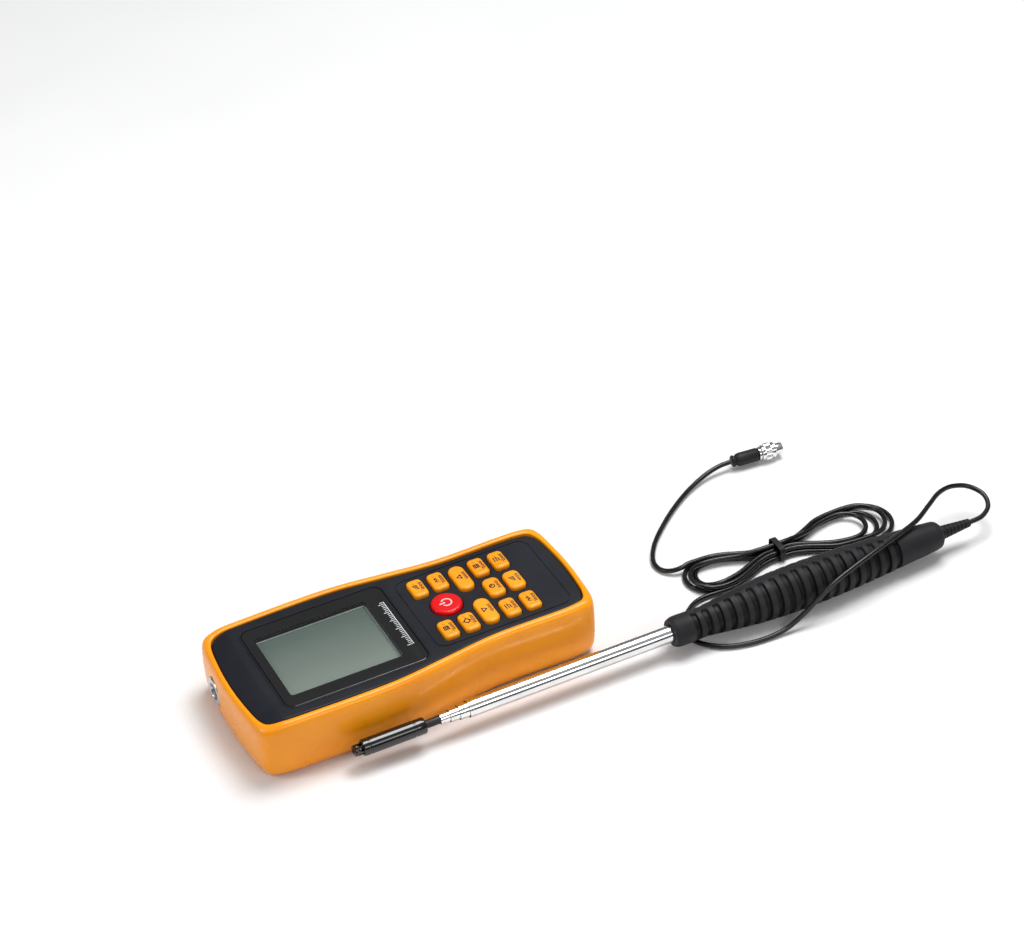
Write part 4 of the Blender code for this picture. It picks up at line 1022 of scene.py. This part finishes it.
def make_handle_half(name, side, node):
    """One grip shell with cut grooves, a rounded seam edge and its hollow inside."""
    bm = bmesh.new()
    # the groove layer is the mask of the painted shade on the groove floors
    groove_shade_layer = bm.verts.layers.float.new("groove")
    stations = 360
    arc = 52
    inside = 14

    def shell_vert(along, around, radius):
        return bm.verts.new((HANDLE_FRONT + along, -side * radius * math.sin(around),
                             side * (radius * math.cos(around) + SEAM_GAP)))

    sections = []
    for s in range(stations + 1):
        share = s / stations
        along = HANDLE_LENGTH * share
        radius = handle_radius(share)
        loop = []
        for i in range(arc + 1):
            around = math.pi * (i / arc - 0.5)
            groove = groove_share(along, around, radius)
            seam = max(0.0, 1.0 - (math.pi / 2 - abs(around)) * radius / SEAM_ROUND)
            vert = shell_vert(along, around, radius - GROOVE_DEPTH * groove - SEAM_DEPTH * seam * seam)
            vert[groove_shade_layer] = groove
            loop.append(vert)
        bore = handle_bore(share, radius)
        for i in range(inside + 1):
            loop.append(shell_vert(along, math.pi * (0.5 - i / inside), bore))
        sections.append(loop)
    bridge_all(bm, sections)
    for section in (sections[0], sections[-1]):
        bm.faces.new(section)
    half = piece(name, bm, "handle", GRIP_SHARP_DEG, HANDLE_FRAME)
    if side < 0:
        apply_forms(half, screw_recess_forms(), GRIP_SHARP_DEG)
    show(half, "probe", "handle_plastic", node)


def screw_recess_forms():
    """Cutters that open the left shell round the heads of its two screws."""
    turn = math.radians(HANDLE_ROLL)
    forms = []
    for number in (1, 2):
        node = f"handle_screw_{number}"
        low, high = corners(node)
        head = (high.x - low.x) / 2
        outer = (high.y - PROBE_Y - head * math.cos(turn)) / math.sin(turn)
        at = HANDLE_FRAME @ Matrix.Translation((middle(node).x, 0.0, 0.0))
        at = at @ Matrix.Rotation(math.pi / 2, 4, "Y")
        forms.append(round_form(rod(outer - 1.3, outer + 8.0, head + GAP), at, 40))
    return forms


def make_mast():
    """Four bright tubes, each with a rolled lip at its front end."""
    bodies = ("probe", "mast_2", "mast_3", "mast_4")
    for number, (radius, body) in enumerate(zip(TUBE_RADII, bodies), 1):
        node = f"mast_tube_{number}"
        front, back = ends(node)
        inner = radius - 0.3
        profile = ((front + 0.9, inner), (front, radius - 0.14), (front + 0.2, radius),
                   (front + 1.5, radius), (front + 1.65, radius - 0.16), (front + 1.95, radius - 0.16),
                   (front + 2.1, radius), (back, radius), (back, inner))
        show(turned(f"{node}_drawn", profile, "chrome", PROBE_FRAME, 64), body, "chrome", node)


def make_sleeve():
    """Black sleeve with a turned groove near each end."""
    front, back = ends("protective_sleeve")
    outer = 4.5
    groove = 4.3
    bore = 3.6
    profile = ((front, bore), (front, 4.1), (front + 0.5, 4.45), (front + 3.0, outer), (front + 3.3, groove),
               (front + 3.9, groove), (front + 4.2, outer), (back - 6.4, outer), (back - 6.1, groove),
               (back - 5.5, groove), (back - 5.2, outer), (back - 0.8, outer), (back, 4.2), (back, bore))
    sleeve = turned("protective_sleeve_turned", profile, "black", PROBE_FRAME, 56)
    show(sleeve, "sleeve", "black_plastic", "protective_sleeve")


def make_sensor():
    """The stem, and the open nose with its bead on a lead."""
    stem = turned("sensor_stem_turned", rod(*ends("sensor_stem"), 2.2), "dark_inside", PROBE_FRAME, 40)
    show(stem, "mast_4", "black_plastic", "sensor_stem")
    front, back = ends("sensor_cage")
    outer = 3.1
    bore = 2.5
    mouth = 1.2
    cage = ((front, mouth), (front, 2.3), (front + 0.25, 2.8), (front + 0.8, outer), (back, outer),
            (back, 0.0), (back - 1.6, 0.0), (back - 1.6, bore), (front + 0.8, bore), (front + 0.8, mouth))
    nose = turned("sensor_cage_turned", cage, "black", PROBE_FRAME, 56)
    outline = rounded_rectangle(back - front - 4.2, 2.0, 0.9, 6)
    windows = []
    for turn in (0.0, 60.0, 120.0):
        at = PROBE_FRAME @ Matrix.Rotation(math.radians(turn), 4, "X")
        at = at @ Matrix.Translation(((front + back) / 2 - 0.3, 0, 0))
        windows.append(form(outline, ((0.0, -6.0), (0.0, 6.0)), at=at))
    apply_forms(nose, windows)
    show(nose, "mast_4", "black_plastic", "sensor_cage")
    front, back = ends("sensor_bead")
    radius = 0.7
    lead = 0.22
    bead = [(front, 0.0)]
    for i in range(1, 8):
        angle = math.pi * i / 8
        bead.append((front + radius - radius * math.cos(angle), radius * math.sin(angle)))
    bead += [(front + 2 * radius, lead), (back, lead), (back, 0.0)]
    show(turned("sensor_bead_on_lead", bead, "steel", PROBE_FRAME, 24), "mast_4", "steel", "sensor_bead")


def make_strain_relief():
    """Tapered rubber sleeve with flexing slots, at the tail of the grip."""
    front, back = ends("strain_relief")
    base = HANDLE_FRONT + HANDLE_LENGTH
    root = 3.9
    profile = [(front, 0.0), (front, root), (base - 0.5, root), (base + 0.3, 4.1), (base + 2.0, 4.1)]
    slots = 6
    slot_pitch = 2.5
    for i in range(slots):
        x = base + 3.2 + i * slot_pitch
        radius = root - 1.35 * (i + 0.5) / slots
        profile += [(x, radius), (x + 0.1, radius - 0.5), (x + 0.7, radius - 0.5), (x + 0.8, radius - 0.08)]
    profile += [(back - 0.3, 2.35), (back, 2.1), (back, 0.0)]
    relief = turned("strain_relief_moulded", profile, "boot", PROBE_FRAME, 40)
    return show(relief, "probe", "rubber", "strain_relief")


# ==== cable, hank and plug ====
HANK_WIDEST = (14.0, 4.275, 15.6)   # outermost turn's centre line: left lobe, waist, right lobe
HANK_PITCH = 2.85
HANK_FLOOR = 1.5
HANK_UPPER = 4.0
HANK_TOP = 6.45
TIE_LIFT = 0.55                     # the strap under the waist raises every run by its thickness
TIE_THICK = 0.5
TIE_WIDTH = 3.4
TURN_INSETS = (0.0, 1.0, 1.5, 0.5)              # in pitches, from the outermost turn
TURN_RIGHT_TIPS = (128.4, 119.0, 112.0, 124.0)
TURN_LEFT_TIPS = (1.6, 7.5, 3.6)
TURN_WAVES = (0.0, 0.35, -0.4, 0.25)
CABLE_STEP = 2.0                    # spacing of the points of the finished cable
RUN_STATIONS = (22.0, 29.0, 36.0, 43.0, 50.0, 57.2, 65.0, 73.0, 81.0, 89.0)
WAIST_REACH = (7.0, 26.0)           # from here to here either side of the tie, a run leaves the waist
WAVE_SCALE = 13.0                   # the runs' waves turn one radian over this length


def smooth_step(value, start, end):
    """0 up to `start` and 1 from `end`, with a soft change between."""
    share = min(max((value - start) / (end - start), 0.0), 1.0)
    return share * share * (3.0 - 2.0 * share)


def hank_point(along, across, height):
    """A point of the hank: millimetres along its axis, across it, and up."""
    start = Vector(HANK_ENDS[0])
    run = (Vector(HANK_ENDS[1]) - start).normalized()
    spot = start + run * along + Vector((-run.y, run.x)) * across
    return (spot.x, spot.y, height)


def hank_tie_place():
    """Where along the hank its tie is, in millimetres."""
    return HANK_TIE_SHARE * (Vector(HANK_ENDS[1]) - Vector(HANK_ENDS[0])).length


def hank_half_width(along):
    """Half width of the outermost turn: a lobe, the tied waist, and a larger lobe."""
    left, waist, right = HANK_WIDEST
    tie = hank_tie_place()
    if along < tie:
        return left + (waist - left) * smooth_step(along, 20.0, tie - 5.0)
    return waist + (right - waist) * smooth_step(along, tie + 5.0, tie + 40.0)


def hank_level(turn):
    """Two turns lie on the table, and the others ride on those."""
    return HANK_FLOOR if turn < 2 else HANK_UPPER


def hank_side(turn, side, stations):
    """One straight run of a turn: side -1 is the near run and 1 the far run."""
    lifted = turn == 2 and side == 1             # this run crosses the waist on top of the others
    points = []
    for along in stations:
        at_waist = 1.0 - smooth_step(abs(along - hank_tie_place()), *WAIST_REACH)
        across = hank_half_width(along) - TURN_INSETS[turn] * HANK_PITCH
        across += TURN_WAVES[turn] * math.sin(along / WAVE_SCALE) * (1.0 - at_waist)
        height = hank_level(turn) + TIE_LIFT * at_waist
        if lifted:
            across += 0.5 * HANK_PITCH * at_waist
            height += (HANK_TOP - HANK_UPPER) * at_waist
        points.append(hank_point(along, side * across, height))
    return points


def hank_arc_point(centre, radius, degrees, height):
    """A point of a turn's end: 90 degrees is on the far side, and 0 is the right tip."""
    angle = math.radians(degrees)
    return hank_point(centre + radius * math.cos(angle), radius * math.sin(angle), height)


def hank_route():
    """Four turns of a tied bow, from the outermost."""
    route = []
    for turn, right_tip in enumerate(TURN_RIGHT_TIPS):
        radius = HANK_WIDEST[2] - TURN_INSETS[turn] * HANK_PITCH
        centre = right_tip - radius
        stations = [x for x in RUN_STATIONS if x < centre - 4.0]
        route += hank_side(turn, -1, stations)
        for degrees in range(-90, 91, 30):
            route.append(hank_arc_point(centre, radius, degrees, hank_level(turn)))
        route += hank_side(turn, 1, stations[::-1])
        if turn < len(TURN_LEFT_TIPS):
            route += hank_left_turn(turn)
    return route


def hank_left_turn(turn):
    """The left end of the bow, where one turn passes into the next."""
    far = HANK_WIDEST[0] - TURN_INSETS[turn] * HANK_PITCH
    near = HANK_WIDEST[0] - TURN_INSETS[turn + 1] * HANK_PITCH
    centre = TURN_LEFT_TIPS[turn] + (far + near) / 2
    last_hump = 0.7
    climb_from = 0.55
    points = []
    for degrees in range(90, 271, 30):
        share = (degrees - 90) / 180
        radius = far + (near - far) * smooth_step(share, 0.0, 1.0)
        if turn == 0:
            height = HANK_FLOOR
        elif turn == 1:
            height = HANK_FLOOR + (HANK_UPPER - HANK_FLOOR) * smooth_step(share, climb_from, 1.0)
        else:
            height = HANK_UPPER + last_hump * math.sin(math.pi * share)
        points.append(hank_arc_point(centre, radius, degrees, height))
    return points


def make_cable():
    """The whole cable as one curve: grip tail, over the grip, under its nose, hank, plug."""
    over = [hank_point(14.0, 12.7, HANK_UPPER + 0.4), hank_point(8.0, 12.5, HANK_UPPER + 0.6)]
    route = list(CABLE_TO_HANK) + hank_route() + over + list(CABLE_TO_PLUG)
    points = even_points(catmull_rom(route, 16), CABLE_STEP)
    length = sum((b - a).length for a, b in zip(points, points[1:]))
    curve = bpy.data.curves.new("probe_cable", "CURVE")
    curve.dimensions = "3D"
    curve.bevel_depth = CABLE_RADIUS * MM
    curve.bevel_resolution = 3
    curve.use_fill_caps = True
    curve.render_resolution_u = 0
    spline = curve.splines.new("POLY")
    spline.points.add(len(points) - 1)
    for target, point in zip(spline.points, points):
        target.co = (*(Vector(point) * MM), 1.0)
    spline.use_smooth = True
    curve.materials.append(MATERIALS["cable"])
    cable = bpy.data.objects.new("probe_cable", curve)
    bpy.context.scene.collection.objects.link(cable)
    show(cable, "probe", "rubber", "cable_to_hank", "cable_hank", "cable_to_plug")
    return cable, length, points[0]


def make_tie():
    """A flat strap with softly rounded edges, round the waist of the hank."""
    low, high = corners("cable_tie")
    run = Vector(HANK_ENDS[1]) - Vector(HANK_ENDS[0])
    spot = hank_point(hank_tie_place(), 0.0, middle("cable_tie").z)
    half_y = (high.y - low.y) / 2 - 0.5
    half_z = (high.z - low.z) / 2 - 0.1
    outline = rounded_rectangle(2 * half_y, 2 * half_z, 2.6, 8)
    edge = TIE_WIDTH / 2
    bm = bmesh.new()
    rings = []
    for growth, x in ((0.0, -edge), (0.0, edge), (-TIE_THICK, edge), (-TIE_THICK, -edge)):
        rings.append(ring_verts(bm, [(x, p.x, p.y) for p in grown(outline, growth)]))
    bridge_all(bm, rings + rings[:1])
    at = Matrix.Translation(spot) @ Matrix.Rotation(math.atan2(run.y, run.x), 4, "Z")
    strap = piece("cable_tie_strap", bm, "boot", at=at)
    rounding = strap.modifiers.new("edge_round", "BEVEL")
    rounding.width = 0.15 * MM
    rounding.segments = 2
    rounding.limit_method = "ANGLE"
    rounding.angle_limit = math.radians(40.0)
    rounding.harden_normals = True
    return show(strap, "probe", "rubber", "cable_tie")


def make_plug():
    """Boot with a ring lip, polished shell, knurled coupling ring and pin insert."""
    band = 4.7                      # the coupling ring: plain bands, the neck beside them and the knurl
    neck = 4.4
    knurled = 5.0
    ring_bore = 3.75
    knurls = 36

    def knurl(radius, angle):
        if radius <= band:
            return radius
        return radius - 0.16 * (0.5 + 0.5 * math.cos(angle * knurls))

    boot = ((0.5, 0.0), (0.5, 1.9), (0.7, 2.9), (1.2, 3.45), (2.0, 3.45), (2.5, 2.9), (2.9, 2.75), (3.4, 3.1),
            (4.6, 3.75), (6.0, 3.9), (16.2, 3.9), (16.8, 3.7), (17.0, 3.3), (17.0, 0.0))
    shell = ((17.3, 0.0), (17.3, 3.7), (17.5, 4.0), (18.5, 4.0), (18.7, 3.4), (28.0, 3.4), (31.7, 3.4),
             (32.0, 3.28), (32.0, 3.2), (27.0, 3.2), (27.0, 0.0))
    ring = ((19.0, ring_bore), (19.0, neck), (19.3, band), (20.0, band), (20.3, neck), (20.8, neck),
            (21.1, knurled), (24.6, knurled), (24.9, neck), (25.4, neck), (25.7, band), (27.1, band),
            (27.5, neck), (27.5, ring_bore))
    insert = ((27.3, 0.0), (27.3, 2.9), (31.3, 2.9), (31.6, 2.6), (31.6, 0.0))
    rows = (("plug_boot", "_moulded", boot, "boot", 48, None, "probe", "rubber"),
            ("plug_shell", "_turned", shell, "chrome", 56, None, "probe", "chrome"),
            ("coupling_ring", "_knurled", ring, "chrome", 144, knurl, "coupling_ring", "chrome"),
            ("plug_insert", "_moulded", insert, "dark_inside", 40, None, "probe", "black_plastic"))
    pieces = []
    for node, ending, profile, material, sides, ripple, body, slot in rows:
        made = turned(node + ending, profile, material, PLUG_FRAME, sides, ripple)
        pieces.append(show(made, body, slot, node))
    bm = bmesh.new()
    for angle in around_circle(5):
        made = bmesh.ops.create_cone(bm, cap_ends=True, segments=14, radius1=0.35, radius2=0.28, depth=2.0)
        place = Matrix.Translation((32.0, 1.7 * math.cos(angle), 1.7 * math.sin(angle)))
        place = place @ Matrix.Rotation(math.pi / 2, 4, "Y")
        bmesh.ops.transform(bm, matrix=place, verts=made["verts"])
    pieces.append(show(piece("plug_pins", bm, "steel", at=PLUG_FRAME), "probe", "black_plastic"))
    return pieces


# ==== CAD nodes that stay ====
KEPT_FINISHES = {
    "silicone": ("keypad_membrane",),
    "board": ("main_board", "handle_board"),
    "dark_inside": ("processor_chip", "buzzer", "battery_tray"),
    "battery": ("battery_cell_1", "battery_cell_2", "battery_cell_3", "battery_cell_4"),
    "steel": ("battery_contact_front", "battery_contact_rear", "socket_nut", "handle_screw_1",
              "handle_screw_2"),
}


def finish_kept_nodes():
    """Give the CAD nodes that stay as they are their procedural materials."""
    for material, nodes in KEPT_FINISHES.items():
        for node in nodes:
            for slot in NODES[node].material_slots:
                slot.material = MATERIALS[material]


# ==== the scene ====
def build():
    make_camera()
    make_stage()
    make_rear_housing()
    make_front_housing()
    make_display()
    make_keys()
    make_battery_door()
    make_screws()
    make_socket()
    make_handle_half("grip_right_shell", 1, "handle_right")
    make_handle_half("grip_left_shell", -1, "handle_left")
    make_mast()
    make_sleeve()
    make_sensor()
    relief = make_strain_relief()
    cable, length, start = make_cable()
    tie = make_tie()
    plug = make_plug()
    finish_kept_nodes()


build()
